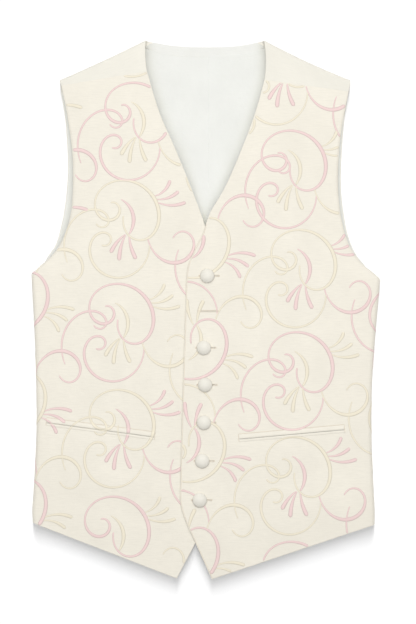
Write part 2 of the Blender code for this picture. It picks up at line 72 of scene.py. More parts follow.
MM = 0.001
QUARTER_TURN = 90.0
TINY = 1e-9  # the least length that a vector is divided by
SIDES = ("left", "right")

# Thickness of each cloth. A front is its outer cloth with a lining under it.
FRONT_CLOTH = 1.1
FRONT_LINING = 0.55
LINING_DEPTH = 1.17
LINING_INSET = 1.5
BACK_WALL = 1.2
LINING_WALL = 1.0
SEAM_GAP = 0.3
# Rounded edges that are sewn together press into each other, which leaves a shallow groove.
SEAM_PRESS = 0.8
YOKE_LAP = 0.7
FACING_LAP = 2.0
FACING_WALL = 0.5

# Points of each panel's grid between its rounded edges: down it, across it, round its roll.
FRONT_GRID = (236, 96, 16)
FRONT_LINING_GRID = (110, 44, 12)
BACK_GRID = (180, 56)
YOKE_ROWS = 76
BACK_LINING_GRID = (150, 90)
FACING_GRID = (110, 12)
ROUNDING_POINTS = 5  # across each rounded edge

# Sections worked out between those of the tables, and steps to find a point and its slopes.
ROW_STEP = 1.0
ROWS_BELOW_ARMPIT = 400
SEAM_GUIDES = 200
SIDE_GUIDES = 120
ARMHOLE_GUIDES = 100
NECK_GUIDES = 60
FACING_END_GUIDES = 12
ROLL_GUIDES = 33
YOKE_GUIDES = 40
SLOPE_STEP = 0.2
HALVINGS = 18

# The fronts lie over the back with a soft hollow between, held up by the rolled side edges.
FRONT_TOP = 10.8
SHOULDER_DROP = 1.0
SHOULDER_DROP_LENGTH = 60.0
HEM_DROP = 0.8
HEM_DROP_LENGTH = 45.0
STAND_BLEND = 20.0
OUTER_BLEND = 30.0

# The side edge rolls over in half an ellipse and runs on under the back to the side seam.
SIDE_ROLL_WIDTH = 6.0
SIDE_ROLL_HEIGHT = 5.4
SIDE_ROLL_ARC = 5.7  # cloth taken by one radian of the roll
SIDE_WRAP = 6.0

# Shoulder, back neck and the ends of the facing and lining that show below the shoulder fold.
SHOULDER_ROLL_HEIGHT = 4.75
NECK_LOW_X = 2.7
NECK_LOW_Y = 330.0
NECK_POINT_Y = 338.3
NECK_POWER = 2.6
NECK_POINT_X = {"left": 72.9, "right": -75.4}
SHOULDER_END_X = {"left": 181.0, "right": -183.2}
SHOULDER_END_Y = 288.3
SHOULDER_EASE = 0.897
SHOULDER_SAG = {"left": 2.2, "right": 1.0}
SHOULDER_SAG_REACH = 44.0
FACING_WIDTH = 12.5
FACING_END_SHARE = 0.87
NECK_SLOPE_STEP = 0.01
FACING_END = (5.0, 6.6)
LINING_END_INNER = (6.0, 7.0)
LINING_END_OUTER = (-2.5, 6.5)

# Back panels and their lining.
CENTRE_BACK_X = 3.2
BACK_HEM_Y = -262.0
BACK_LINING_TOP = 2.4
# The lining's swell towards the fronts: middle, half width, half length and rise.
LINING_SWELL = (0.0, 118.0, 42.0, 52.0, 2.9)
FACING_RISE = 0.12  # over the lining
BACK_LINING_HEM_RISE = 8.0
BACK_LINING_INSET = 1.0
BACK_LINING_TAPER = 20.0
CENTRE_STRIP_WIDTH = 7.5
CENTRE_STRIP_RISE = 0.16
CENTRE_STRIP_EDGE = 0.8

# Buttons stand on the left front's lap, each in a slit that runs out past it.
STAND_TOP = 12.1
BUTTONHOLE_LENGTH = 25.0
BUTTONHOLE_RUN_OUT = 15.0
BUTTONHOLE_SLIT = 0.8
BUTTONHOLE_UNCUT = 1.0  # both ends together
EMPTY_BUTTONHOLE = (3.0, -0.8)
# The cord of stitches round a buttonhole: its loop, its thickness, and where it gets thicker.
LOOP_END = 0.6
LOOP_RADIUS = 0.8
LOOP_END_POINTS = 9
LOOP_SIDE_POINTS = 30
CORD_WIDTH = 0.95
CORD_HEIGHT = 0.26  # for each millimetre of width, each way
CORD_END_WIDENING = 0.4
CORD_END_START = 10.5
CORD_END_BLEND = 2.5
CORD_SEGMENTS = 8
Button = namedtuple("Button", "x y")
BUTTONS = (
    Button(1.7, 43.4),
    Button(-2.6, -46.6),
    Button(-1.0, -92.9),
    Button(-2.6, -140.1),
    Button(-4.6, -188.0),
    Button(-7.7, -236.9),
)
# Half width, half length and height above the stand, from the foot of the shank to the crown.
# The dome's rows are read off a smooth curve through its rings.
Ring = namedtuple("Ring", "half_x half_y height")
SHANK_RINGS = (Ring(1.5, 0.4, -1.9), Ring(1.5, 0.4, 0.1), Ring(2.6, 2.2, 0.35), Ring(6.8, 6.8, 0.4))
BUTTON_SEGMENTS = 64
DOME_ROWS = 30
DOME_RINGS = (
    Ring(7.6, 7.6, 0.4),
    Ring(8.6, 8.6, 0.8),
    Ring(8.98, 8.98, 1.6),
    Ring(8.75, 8.75, 2.4),
    Ring(7.9, 7.9, 3.35),
    Ring(6.4, 6.4, 4.3),
    Ring(4.4, 4.4, 5.1),
    Ring(2.2, 2.2, 5.6),
    Ring(0.3, 0.3, 5.75),
)

# One row is a section across a front, from its neck or front edge to its armhole or side.
# inner_top is the height of the face at the inner end, held over stand millimetres;
# outer_top is its height where the outer edge begins to turn down, through turn degrees.
Section = namedtuple(
    "Section", "inner_x inner_y outer_x outer_y inner_top stand outer_top turn"
)
FRONT_SECTIONS = {
    "left": (
        Section(73.3, 288.8, 178.9, 274.4, 9.0, 0, 9.2, 25),
        Section(62.6, 250.5, 171.5, 236.0, 9.2, 0, 9.0, 42),
        Section(44.1, 200.5, 166.6, 194.0, 9.4, 0, 8.9, 50),
        Section(22.7, 152.0, 165.8, 150.0, 10.6, 6, 8.9, 50),
        Section(3.0, 117.0, 169.3, 118.0, 12.0, 20, 8.9, 50),
        Section(-3.0, 98.0, 172.8, 102.5, 12.1, 34, 8.9, 50),
        Section(-14.8, 74.0, 181.2, 79.0, 12.1, 46, 9.0, 56),
        Section(-21.1, 59.0, 189.0, 67.0, 12.1, 48, 9.4, 68),
        Section(-23.2, 50.0, 198.5, 56.0, 12.1, 48, 9.9, 90),
        Section(-24.2, 43.5, 209.3, 47.5, 12.1, 48, 10.4, 130),
        Section(-24.6, 37.0, 218.5, 39.4, 12.1, 48, 10.8, 180),
        Section(-26.5, -25.0, 212.2, -30.0, 12.1, 48, 10.8, 180),
        Section(-28.6, -93.0, 208.0, -92.0, 12.1, 48, 10.8, 180),
        Section(-30.3, -150.0, 207.4, -145.0, 12.1, 48, 10.8, 180),
        Section(-31.7, -210.0, 208.3, -190.0, 12.1, 48, 10.8, 180),
        Section(-31.4, -243.0, 209.6, -215.0, 12.1, 46, 10.8, 180),
        Section(-26.5, -260.0, 210.3, -228.0, 12.1, 40, 10.8, 180),
        Section(-13.4, -290.0, 211.3, -248.0, 12.1, 20, 10.8, 180),
        Section(7.4, -336.3, 211.3, -268.0, 9.6, 0, 10.8, 180),
    ),
    "right": (
        Section(-73.6, 299.4, -181.1, 281.9, 9.0, 0, 9.2, 25),
        Section(-59.0, 250.5, -173.8, 244.0, 9.2, 0, 9.0, 42),
        Section(-37.4, 200.5, -167.4, 196.0, 9.4, 0, 8.9, 50),
        Section(-15.7, 147.0, -167.0, 148.0, 9.6, 0, 8.9, 50),
        Section(-4.0, 115.0, -169.3, 122.0, 9.7, 10, 8.9, 50),
        Section(1.5, 98.0, -172.8, 107.5, 9.7, 25, 8.9, 50),
        Section(11.8, 74.0, -181.2, 86.0, 9.7, 42, 9.0, 56),
        Section(17.1, 59.0, -188.6, 74.0, 9.7, 48, 9.4, 68),
        Section(18.5, 50.0, -199.0, 63.0, 9.7, 48, 9.9, 90),
        Section(19.1, 43.0, -209.3, 54.0, 9.7, 48, 10.4, 130),
        Section(19.2, 36.0, -218.5, 46.0, 9.7, 48, 10.8, 180),
        Section(17.0, -25.0, -214.4, -30.0, 9.7, 48, 10.8, 180),
        Section(14.7, -93.0, -212.5, -92.0, 9.7, 48, 10.8, 180),
        Section(12.6, -150.0, -212.0, -145.0, 9.7, 48, 10.8, 180),
        Section(10.0, -212.0, -213.8, -190.0, 9.7, 48, 10.8, 180),
        Section(7.9, -242.0, -215.1, -215.0, 9.7, 48, 10.8, 180),
        Section(1.5, -262.0, -216.1, -230.0, 9.7, 42, 10.8, 180),
        Section(-13.4, -291.5, -217.4, -249.5, 9.7, 25, 10.8, 180),
        Section(-36.4, -335.3, -216.6, -265.6, 9.6, 0, 10.8, 180),
    ),
}
ARMPIT_ROW = 10  # the section at the armpit corner, counted from 0
STAND, TURN = (Section._fields.index(name) for name in ("stand", "turn"))

# Armhole side of the back, one row per section, with where it leaves the centre back.
BackSection = namedtuple("BackSection", "centre_y outer_x outer_y")
BACK_ARMHOLE = {
    "left": (
        BackSection(57.0, 199.5, 56.0),
        BackSection(80.0, 188.0, 70.5),
        BackSection(110.0, 178.5, 93.0),
        BackSection(150.0, 173.0, 120.0),
        BackSection(200.0, 169.5, 152.0),
        BackSection(260.0, 169.9, 188.0),
        BackSection(NECK_LOW_Y, 172.5, 230.0),
    ),
    "right": (
        BackSection(64.0, -200.5, 64.0),
        BackSection(86.0, -188.5, 82.0),
        BackSection(115.0, -181.9, 104.0),
        BackSection(150.0, -177.4, 126.0),
        BackSection(200.0, -174.0, 156.0),
        BackSection(260.0, -173.0, 188.0),
        BackSection(NECK_LOW_Y, -175.3, 230.0),
    ),
}
# The sections that leave from the neck curve instead, share of the way to the neck point.
NeckSection = namedtuple("NeckSection", "share outer_x outer_y")
BACK_NECK = {
    "left": (
        NeckSection(0.20, 173.7, 241.0),
        NeckSection(0.39, 175.0, 250.5),
        NeckSection(0.57, 176.5, 259.5),
        NeckSection(0.74, 178.0, 268.0),
    ),
    "right": (
        NeckSection(0.20, -176.5, 241.0),
        NeckSection(0.39, -177.8, 250.5),
        NeckSection(0.57, -179.2, 259.5),
        NeckSection(0.74, -180.8, 268.0),
    ),
}
# The yoke on top, from the end of the shoulder roll towards the forward seam.
YokeSection = namedtuple("YokeSection", "inner_x inner_y outer_x outer_y")
YOKE_SECTIONS = {
    "left": (
        YokeSection(73.6, 331.0, 180.5, 284.4),
        YokeSection(75.0, 317.0, 180.2, 281.2),
        YokeSection(74.8, 303.0, 179.6, 277.9),
    ),
    "right": (
        YokeSection(-75.9, 331.0, -182.5, 284.6),
        YokeSection(-75.7, 320.0, -182.1, 283.8),
        YokeSection(-75.0, 309.0, -181.6, 283.0),
    ),
}

# Soft folds of the fronts: middle, half length, half width, direction in degrees and rise.
# The first eight of each side are those of the solid; the rest are finer creases.
Fold = namedtuple("Fold", "x y half_length half_width direction rise")
FOLDS = {
    "left": (
        Fold(186.0, -20.0, 60.0, 11.0, 84.0, 0.9),
        Fold(163.0, -35.0, 55.0, 13.0, 74.0, -0.9),
        Fold(140.0, 10.0, 50.0, 16.0, 62.0, 0.7),
        Fold(178.0, -110.0, 45.0, 9.0, 96.0, -0.8),
        Fold(120.0, 215.0, 40.0, 14.0, 105.0, 0.7),
        Fold(62.0, 120.0, 45.0, 12.0, 128.0, -0.6),
        Fold(110.0, -205.0, 55.0, 16.0, 12.0, -0.7),
        Fold(150.0, -240.0, 45.0, 14.0, 18.0, 0.6),
        Fold(196.0, -75.0, 40.0, 5.0, 88.0, 0.45),
        Fold(150.0, 95.0, 34.0, 7.0, 118.0, -0.4),
        Fold(96.0, 165.0, 30.0, 6.0, 70.0, 0.3),
        Fold(60.0, -60.0, 46.0, 7.0, 97.0, -0.3),
        Fold(88.0, -120.0, 38.0, 6.0, 80.0, 0.3),
        Fold(60.0, -250.0, 34.0, 7.0, 40.0, -0.35),
    ),
    "right": (
        Fold(-190.0, -15.0, 60.0, 10.0, 92.0, 0.8),
        Fold(-168.0, -60.0, 60.0, 13.0, 104.0, -0.8),
        Fold(-135.0, 25.0, 45.0, 15.0, 118.0, 0.6),
        Fold(-185.0, -205.0, 40.0, 10.0, 86.0, -0.8),
        Fold(-118.0, 190.0, 45.0, 14.0, 78.0, -0.7),
        Fold(-60.0, 110.0, 50.0, 12.0, 55.0, 0.6),
        Fold(-105.0, -215.0, 60.0, 16.0, 168.0, 0.7),
        Fold(-75.0, -262.0, 40.0, 12.0, 160.0, -0.6),
        Fold(-200.0, -90.0, 44.0, 5.0, 93.0, 0.4),
        Fold(-152.0, 110.0, 32.0, 7.0, 66.0, -0.4),
        Fold(-84.0, 205.0, 28.0, 6.0, 112.0, 0.3),
        Fold(-70.0, -40.0, 44.0, 7.0, 84.0, -0.3),
        Fold(-98.0, -105.0, 36.0, 6.0, 99.0, 0.3),
        Fold(-150.0, -245.0, 36.0, 7.0, 150.0, -0.35),
    ),
}
FOLD_MARGIN = 22.0
WAVINESS = 0.03  # of each of three sine waves all over the cloth

# Long, low waves of the back lining: middle, half width and rise.
LiningWave = namedtuple("LiningWave", "x half_width rise")
LINING_WAVES = (
    LiningWave(-52.0, 9.0, 0.28),
    LiningWave(-31.0, 6.0, -0.2),
    LiningWave(-14.0, 5.0, 0.16),
    LiningWave(22.0, 6.0, 0.22),
    LiningWave(39.0, 7.0, -0.2),
    LiningWave(58.0, 9.0, 0.26),
)
WAVE_SWAY = 3.0
WAVE_SWAY_LENGTH = 70.0

# Pocket mouths, and the bands sewn along them: where each lies across the mouth.
Mouth = namedtuple("Mouth", "start_x start_y end_x end_y")
POCKET_MOUTHS = {
    "left": Mouth(41.3, -161.1, 173.4, -149.3),
    "right": Mouth(-64.1, -158.5, -199.5, -140.6),
}
# Its rise changes evenly from near_rise at the mouth to far_rise.
Jet = namedtuple("Jet", "name near far near_rise far_rise")
JETS = (Jet("upper", 0.2, 6.4, 1.3, 0.6), Jet("lower", -0.2, -3.4, 0.4, 0.4))
MOUTH_SLIT = 0.4
MOUTH_UNCUT = 1.2  # both ends together
MOUTH_SINK = 1.4  # of what is laid over the mouth
MOUTH_HALF_WIDTH = 0.25
BAND_END_ROUNDING = 1.2
SEWN_CLEARANCE = 0.02  # of what is sewn on, over the cloth
BAND_GRID = (90, 15)
# How far each slit's cutter reaches below the outer cloth and above its face.
CUT_BELOW = 0.04
CUT_ABOVE = 2.0
SHARP_ANGLE = 50.0  # degrees; less than this is shaded smooth
# The dark stitch line along each upper band's far edge is partly real topstitching and partly
# painted shade of the band's seam.
BAND_STITCH_WIDTH = 0.8
BAND_STITCH_GAP = 0.2  # past the ends of the mouth
# The dark line down the left front's lapped edge, shaped as stitches, is painted shade along that
# edge.
EDGE_SHADOW_WIDTH = 0.9
EDGE_SHADOW_INSET = 1.1
LAP_START = 180.0  # down the left front's middle line from its shoulder seam

# One embroidered stroke starts at a point of the motif with a heading and turns through turn
# degrees, while the radius of its turn changes evenly between radii at even steps of the turn.
# Its width changes evenly between widths at even steps of its length. The motif's first
# colour draws the rings, its second the scrolls and fans. Its origin is the large ring's centre.
Stroke = namedtuple("Stroke", "colour x y heading turn radii widths")
RING_WIDTHS = (2.2, 2.4, 3.0, 4.4, 5.2, 5.0, 3.8, 2.8, 2.4, 2.6, 4.2, 4.0, 2.0)
CURL_WIDTHS = (2.4, 3.2, 3.2, 3.8, 3.8, 3.0, 2.6, 2.2, 1.8)
SCROLL_WIDTHS = (1.6, 2.2, 3.8, 5.2, 4.8, 3.2, 2.6, 1.8)
STEM_WIDTHS = (1.4, 2.4, 2.6, 2.6, 3.2, 3.0, 2.0)
FAN_WIDTHS = (1.4, 2.6, 3.6, 4.8, 5.4, 5.4)
SIDE_FAN_WIDTHS = (1.4, 2.2, 3.0, 4.0, 4.6, 4.6)
MOTIF = (
    Stroke(1, -2.5, -8.0, -100, 670, (34, 19, 21, 45, 46, 29, 20, 14, 12, 9, 5), RING_WIDTHS),
    Stroke(1, -30.0, -44.5, -30, 480, (8, 8, 8, 15, 35, 37, 44), CURL_WIDTHS),
    Stroke(2, 27.5, -34.5, -80, 325, (48, 28, 24, 17, 11, 17), SCROLL_WIDTHS),
    Stroke(2, 66.5, -50.0, -112, 352, (62, 40, 18, 8, 8, 10), STEM_WIDTHS),
    Stroke(2, -6.0, 12.5, -25, -100, (28, 28, 34), (1.2, 3.2, 4.8, 5.2, 4.2, 2.0)),
    Stroke(2, -0.5, -31.5, -143, 29, (58,), FAN_WIDTHS),
    Stroke(2, 0.5, -31.5, -119, 29, (67,), FAN_WIDTHS),
    Stroke(2, 4.5, -31.5, -88, 28, (66,), FAN_WIDTHS),
    Stroke(2, 36.5, 16.5, 15, 62, (27,), SIDE_FAN_WIDTHS),
    Stroke(2, 38.5, 12.5, -6, 52, (34,), SIDE_FAN_WIDTHS),
    Stroke(2, 38.5, 9.5, -27, 52, (42,), SIDE_FAN_WIDTHS),
)
STROKE_STEP = 1.4
FEWEST_STEPS = 6
TURN_POINTS = 801
ROUND_TIP = 0.25  # of a stroke's width, left at its very end
SHORTEST_RUN = 13  # steps; a shorter scrap of a stroke at an edge is left out

# Where the motif repeats on each front: its centre, its first colour, and whether it is turned
# over top to bottom, as every other column is.
Repeat = namedtuple("Repeat", "x y colour turned_over")
REPEATS = {
    "left": (
        Repeat(97.0, 318.0, "gold", False),
        Repeat(108.0, 188.5, "pink", False),
        Repeat(120.0, 64.5, "gold", False),
        Repeat(116.5, -63.5, "pink", False),
        Repeat(113.5, -194.5, "gold", False),
        Repeat(109.5, -325.5, "pink", False),
        Repeat(-25.0, 191.0, "pink", True),
        Repeat(-13.0, 77.0, "gold", True),
        Repeat(-16.0, -49.5, "pink", True),
        Repeat(-18.5, -178.0, "gold", True),
        Repeat(-26.5, -310.0, "pink", True),
        Repeat(232.0, 200.0, "pink", True),
        Repeat(250.0, 71.0, "gold", True),
        Repeat(249.5, -57.0, "pink", True),
        Repeat(249.0, -186.0, "gold", True),
    ),
    "right": (
        Repeat(-84.0, 378.0, "gold", False),
        Repeat(-87.5, 248.5, "pink", False),
        Repeat(-100.5, 126.5, "gold", False),
        Repeat(-107.5, -3.0, "pink", False),
        Repeat(-107.0, -135.5, "gold", False),
        Repeat(-113.0, -269.0, "pink", False),
        Repeat(-230.0, 262.0, "pink", True),
        Repeat(-222.5, 134.0, "gold", True),
        Repeat(-239.5, 9.5, "pink", True),
        Repeat(-242.5, -117.5, "gold", True),
        Repeat(-242.0, -250.0, "pink", True),
    ),
}
THREADS = ("pink", "gold")
EDGE_CLEARANCE = 0.9

# Profile of a line of satin stitches: across it, in half widths, and up, in lifts. The
# under side is sunk into the cloth. A line's lift is the thread's, times a share that grows
# with the line's width in millimetres.
LIFT_SHARE = 0.75
LIFT_BY_WIDTH = 0.12
SATIN_PROFILE = (
    (0.0, -0.8),
    (1.0, -0.3),
    (0.82, 0.7),
    (0.45, 1.0),
    (0.0, 0.85),
    (-0.45, 1.0),
    (-0.82, 0.7),
    (-1.0, -0.3),
)

# How each cloth shines, how strong its slubs are, and its threads' pitch and relief.
Weave = namedtuple("Weave", "roughness sheen slub pitch relief")
WEAVES = {
    "front_cloth": Weave(0.55, 0.25, 0.6, 0.55, 0.14),
    "back_cloth": Weave(0.6, 0.2, 0.35, 0.5, 0.1),
    "lining_cloth": Weave(0.42, 0.1, 0.12, 0.35, 0.05),
    "facing_cloth": Weave(0.6, 0.1, 0.3, 0.5, 0.1),
    "button_cloth": Weave(0.5, 0.25, 0.4, 0.5, 0.1),
}
# Noise over a cloth: its scale in each metre across and along, and the values that are
# stretched to 0 and 1.
Noise = namedtuple("Noise", "scale detail low high")
SLUBS = Noise((75.0, 850.0, 1.0), 2.0, 0.42, 0.78)
CLOUDS = Noise((22.0, 16.0, 1.0), 3.0, 0.3, 0.7)
PUCKERS = Noise((120.0, 120.0, 1.0), 2.0, 0.3, 0.7)
PUCKER_DEPTH = 0.25
SLUB_HEIGHT = 0.8
WEAVE_BUMP = 0.5
SLUB_SHADE = 0.90
CLOUD_SHADES = (0.965, 1.02)
THREAD_ROUGHNESS = 0.42
THREAD_SHEEN = 0.25
STITCH_PITCH = 0.55
STITCH_DEPTH = 0.12
STITCH_BUMP = 0.6
STITCH_SCALE = (1.0, 0.15, 1.0)
# Painted highlight and shade: each stitch row is lighter on its crest and darker between rows,
# following the bump.
STITCH_PAINTED_SHADES = (0.95, 1.08)
# Painted shade: each stroke darkens towards its edges, where the raised satin rounds down to the
# cloth.
STROKE_EDGE = 0.45  # from the middle, where a stroke begins to get darker
STROKE_EDGE_PAINTED_SHADE = 0.75

# Lights: levels are what they add on a level surface, spreads and elevations are degrees.
FLOOR_SIZE = 16000.0
FLOOR_DROP = 0.15
FLOOR_ROUGHNESS = 0.9
WORLD_LEVEL = 0.25
CEILING_POWER = 70.8
CEILING_WIDTH = 2400.0
CEILING_PLACE = (0.0, 500.0, 2700.0)
LINING_SIDE_LEVEL = 0.095
LINING_SIDE_ELEVATION = 34.0
LINING_SIDE_SPREAD = 36.0
LINING_SIDE_COLOUR = (1.0, 1.05, 1.41)
LINING_FILL_LEVEL = 0.67
LINING_FILL_SPREAD = 120.0
LINING_FILL_COLOUR = (1.0, 0.976, 0.805)
SHOULDER_LEVEL = 0.13
SHOULDER_SPREAD = 60.0
SHOULDER_ELEVATION = 42.0
FLOOR_LEVEL = 0.36
FLOOR_SPREAD = 22.0
FLOOR_ROW_LEVEL = 0.097
FLOOR_ROW_SPREAD = 9.0
FLOOR_ROW_ELEVATIONS = (63.0, 48.0, 37.5, 29.5, 22.0)
CAMERA_HEIGHT = 3000.0
CAMERA_CENTRE = (2.65, -1.9)
VIEW_WIDTH = 520.0
VIEW_DEPTH = 60000.0
SENSOR_WIDTH = 36.0


def smooth(value):
    """0 below 0, 1 above 1, and between them the S-curve 3v^2 - 2v^3 with level ends."""
    value = np.clip(value, 0.0, 1.0)
    return value * value * (3.0 - 2.0 * value)


def side_sign(side):
    """1 on the wearer's left side, towards +X, and -1 on the right."""
    return 1.0 if side == "left" else -1.0


def through_points(knots, values, places):
    """A smooth curve through the values: cubic pieces whose slope is that of the neighbours."""
    slopes = np.gradient(values, knots, axis=0)
    index = np.clip(np.searchsorted(knots, places, side="right") - 1, 0, len(knots) - 2)
    width = (knots[index + 1] - knots[index])[:, None]
    t = (places - knots[index])[:, None] / width
    return (
        (1 + 2 * t) * (1 - t) ** 2 * values[index]
        + t * (1 - t) ** 2 * width * slopes[index]
        + t * t * (3 - 2 * t) * values[index + 1]
        - t * t * (1 - t) * width * slopes[index + 1]
    )


def run_along(points):
    """Distance along a line of points, from 0 at the first."""
    steps = np.linalg.norm(np.diff(points, axis=0), axis=1)
    return np.concatenate([[0.0], np.cumsum(steps)])


def columns_at(places, knots, table):
    """Each column of the table read at the places, in proportion between its knots."""
    return np.stack([np.interp(places, knots, column) for column in table.T], axis=-1)


class FrontForm:
    """The shape of one front as a surface of two parameters.

    place is the distance down from the shoulder seam, and along the length of cloth out from
    the neck or front edge. A point is the section's inner end plus along times its direction,
    at a height that blends from the inner edge to the middle to the turned edge, plus the
    folds. Past the flat part the cloth goes round half an ellipse, down and under, and runs
    back in.
    """

    def __init__(self, side):
        table = np.array(FRONT_SECTIONS[side], float)
        inner_steps = np.hypot(*np.diff(table[:, 0:2], axis=0).T)
        outer_steps = np.hypot(*np.diff(table[:, 2:4], axis=0).T)
        knots = np.append(0.0, np.cumsum(0.5 * (inner_steps + outer_steps)))
        self.side = side
        self.armpit = knots[ARMPIT_ROW]
        self.length = knots[-1]
        upper = np.arange(0.0, self.armpit, ROW_STEP)
        lower = np.linspace(self.armpit, self.length, ROWS_BELOW_ARMPIT)
        self.places = np.concatenate([upper, lower])
        above, below = slice(None, ARMPIT_ROW + 1), slice(ARMPIT_ROW, None)
        plan = np.concatenate(
            [
                through_points(knots[above], table[above, :4], upper),
                through_points(knots[below], table[below, :4], lower),
            ]
        )
        heights = through_points(knots, table[:, 4:8], self.places)
        heights = np.clip(heights, table[:, 4:8].min(axis=0), table[:, 4:8].max(axis=0))
        self.rows = np.column_stack([plan, heights])

    def sections(self, place):
        """The section at each place."""
        return columns_at(place, self.places, self.rows)

    def directions(self, row):
        """Unit direction of each section from its inner to its outer end, and its width."""
        span = row[..., 2:4] - row[..., 0:2]
        width = np.linalg.norm(span, axis=-1)
        return span / width[..., None], width

    def top_width(self, row):
        """Length of the part of each section that faces up, before its edge turns down."""
        full_turn = np.radians(np.minimum(row[..., TURN], QUARTER_TURN))
        return self.directions(row)[1] - SIDE_ROLL_WIDTH * np.sin(full_turn)

    def roll_length(self, row):
        """Length of cloth past the flat part: round the roll, then back in under it."""
        turn = row[..., TURN]
        wrap = SIDE_WRAP * np.clip(turn / QUARTER_TURN - 1.0, 0.0, 1.0)
        return SIDE_ROLL_ARC * np.radians(turn) + wrap

    def flat_point(self, place, along):
        """Where a point of the front lies in its flat cut: straight out along its section."""
        row = self.sections(place)
        return row[..., 0:2] + along[..., None] * self.directions(row)[0]

    def point(self, place, along):
        """Where a point of the cloth lies on the made-up front."""
        place, along = np.broadcast_arrays(place, along)
        row = self.sections(place)
        ahead, _ = self.directions(row)
        flat_width = self.top_width(row)
        on_top = np.clip(along, 0.0, flat_width)
        to_turn = flat_width - on_top
        plan = row[..., 0:2] + on_top[..., None] * ahead
        top = section_top(row, middle_top(place, self.length), on_top, to_turn)
        margin = smooth((on_top - row[..., STAND]) / FOLD_MARGIN) * smooth(to_turn / FOLD_MARGIN)
        top = top + fold_rise(self.side, plan[..., 0], plan[..., 1]) * margin
        top = top + cloth_waviness(plan[..., 0], plan[..., 1], self.side)

        beyond = np.maximum(along - flat_width, 0.0)
        turn = np.radians(row[..., TURN])
        angle = np.minimum(beyond / SIDE_ROLL_ARC, turn)
        wrapped = np.maximum(beyond - turn * SIDE_ROLL_ARC, 0.0)
        out = SIDE_ROLL_WIDTH * np.sin(angle) - wrapped
        plan = plan + out[..., None] * ahead
        height = np.maximum(top - SIDE_ROLL_HEIGHT * (1.0 - np.cos(angle)), 0.0)
        return np.concatenate([plan, height[..., None]], axis=-1)

    def point_and_normal(self, place, along):
        """A point, and its outward normal: the cross product of the slopes both ways."""
        step = SLOPE_STEP
        down = self.point(place + step, along) - self.point(place - step, along)
        across = self.point(place, along + step) - self.point(place, along - step)
        normal = np.cross(down, across) * side_sign(self.side)
        normal /= np.maximum(np.linalg.norm(normal, axis=-1, keepdims=True), TINY)
        return self.point(place, along), normal

    def find(self, flat):
        """Place and along of points of the flat cut, how far the cloth reaches along there, and
        whether they lie between the shoulder seam and the hem.

        Halves the range of place until the point lies on the section through it.
        """
        low = np.zeros(len(flat))
        high = np.full(len(flat), self.length)

        def side_of(place):
            """Below 0 where the points lie on the hem's side of the section at their place."""
            row = self.sections(place)
            ahead, _ = self.directions(row)
            off = flat - row[:, 0:2]
            return (ahead[:, 0] * off[:, 1] - ahead[:, 1] * off[:, 0]) * side_sign(self.side)

        inside = (side_of(low) < 0.0) & (side_of(high) > 0.0)
        for _ in range(HALVINGS):
            middle = (low + high) / 2.0
            below = side_of(middle) < 0.0
            low = np.where(below, middle, low)
            high = np.where(below, high, middle)
        place = (low + high) / 2.0
        row = self.sections(place)
        ahead, _ = self.directions(row)
        along = ((flat - row[:, 0:2]) * ahead).sum(axis=1)
        reach = self.top_width(row) + self.roll_length(row)
        return place, along, reach, inside

    def lay(self, flat, lift):
        """Points of the flat cut laid on the made-up front, lifted off it along its normal."""
        place, along, reach, _ = self.find(flat)
        along = np.clip(along, EDGE_CLEARANCE, reach - EDGE_CLEARANCE)
        place = np.clip(place, EDGE_CLEARANCE, self.length - EDGE_CLEARANCE)
        point, normal = self.point_and_normal(place, along)
        return point + (lift + band_rise(self.side, flat))[:, None] * normal

    def on_cloth(self, flat):
        """Whether points of the flat cut are on the cloth, clear of its edges."""
        place, along, reach, inside = self.find(flat)
        inside &= (place > EDGE_CLEARANCE) & (place < self.length - EDGE_CLEARANCE)
        return inside & (along > EDGE_CLEARANCE) & (along < reach - EDGE_CLEARANCE)


def middle_top(place, length):
    """Height of the middle of a section, a little lower at the shoulder seam and the hem."""
    at_shoulder = 1.0 - smooth(place / SHOULDER_DROP_LENGTH)
    at_hem = 1.0 - smooth((length - place) / HEM_DROP_LENGTH)
    return FRONT_TOP - SHOULDER_DROP * at_shoulder - HEM_DROP * at_hem


def section_top(row, middle, from_inner, to_turn):
    """Height across a section: inner_top, then the middle, then outer_top at the turned edge."""
    inner_top, stand, outer_top = row[..., 4], row[..., 5], row[..., 6]
    inner_share = 1.0 - smooth((from_inner - stand) / STAND_BLEND)
    outer_share = 1.0 - smooth(to_turn / OUTER_BLEND)
    return middle + (inner_top - middle) * inner_share + (outer_top - middle) * outer_share


def fold_rise(side, x, y):
    """The folds' rise at plan points: each is rise times e to minus the squared distance from
    its middle, measured in half lengths and half widths."""
    rise = np.zeros_like(x)
    for fold in FOLDS[side]:
        turn = math.radians(fold.direction)
        along = (x - fold.x) * math.cos(turn) + (y - fold.y) * math.sin(turn)
        across = (y - fold.y) * math.cos(turn) - (x - fold.x) * math.sin(turn)
        shape = (along / fold.half_length) ** 2 + (across / fold.half_width) ** 2
        rise = rise + fold.rise * np.exp(-shape)
    return rise


def cloth_waviness(x, y, side):
    """Faint unevenness all over the cloth: three crossing sine waves of unlike lengths."""
    shift = side_sign(side)
    waves = np.sin(x / 7.3 + 0.9 * np.sin(y / 23.0 + shift))
    waves = waves + np.sin(y / 9.1 + 1.2 * np.sin(x / 31.0 - shift))
    waves = waves + np.sin((x + 0.8 * y) / 12.7 + shift)
    return WAVINESS * waves


def mouth_frame(side):
    """Start of a pocket mouth, its direction, the direction up across it, and its length."""
    mouth = POCKET_MOUTHS[side]
    start, end = np.array(mouth[0:2]), np.array(mouth[2:4])
    length = np.linalg.norm(end - start)
    ahead = (end - start) / length
    up = np.array([-ahead[1], ahead[0]]) * side_sign(side)
    return start, ahead, up, length


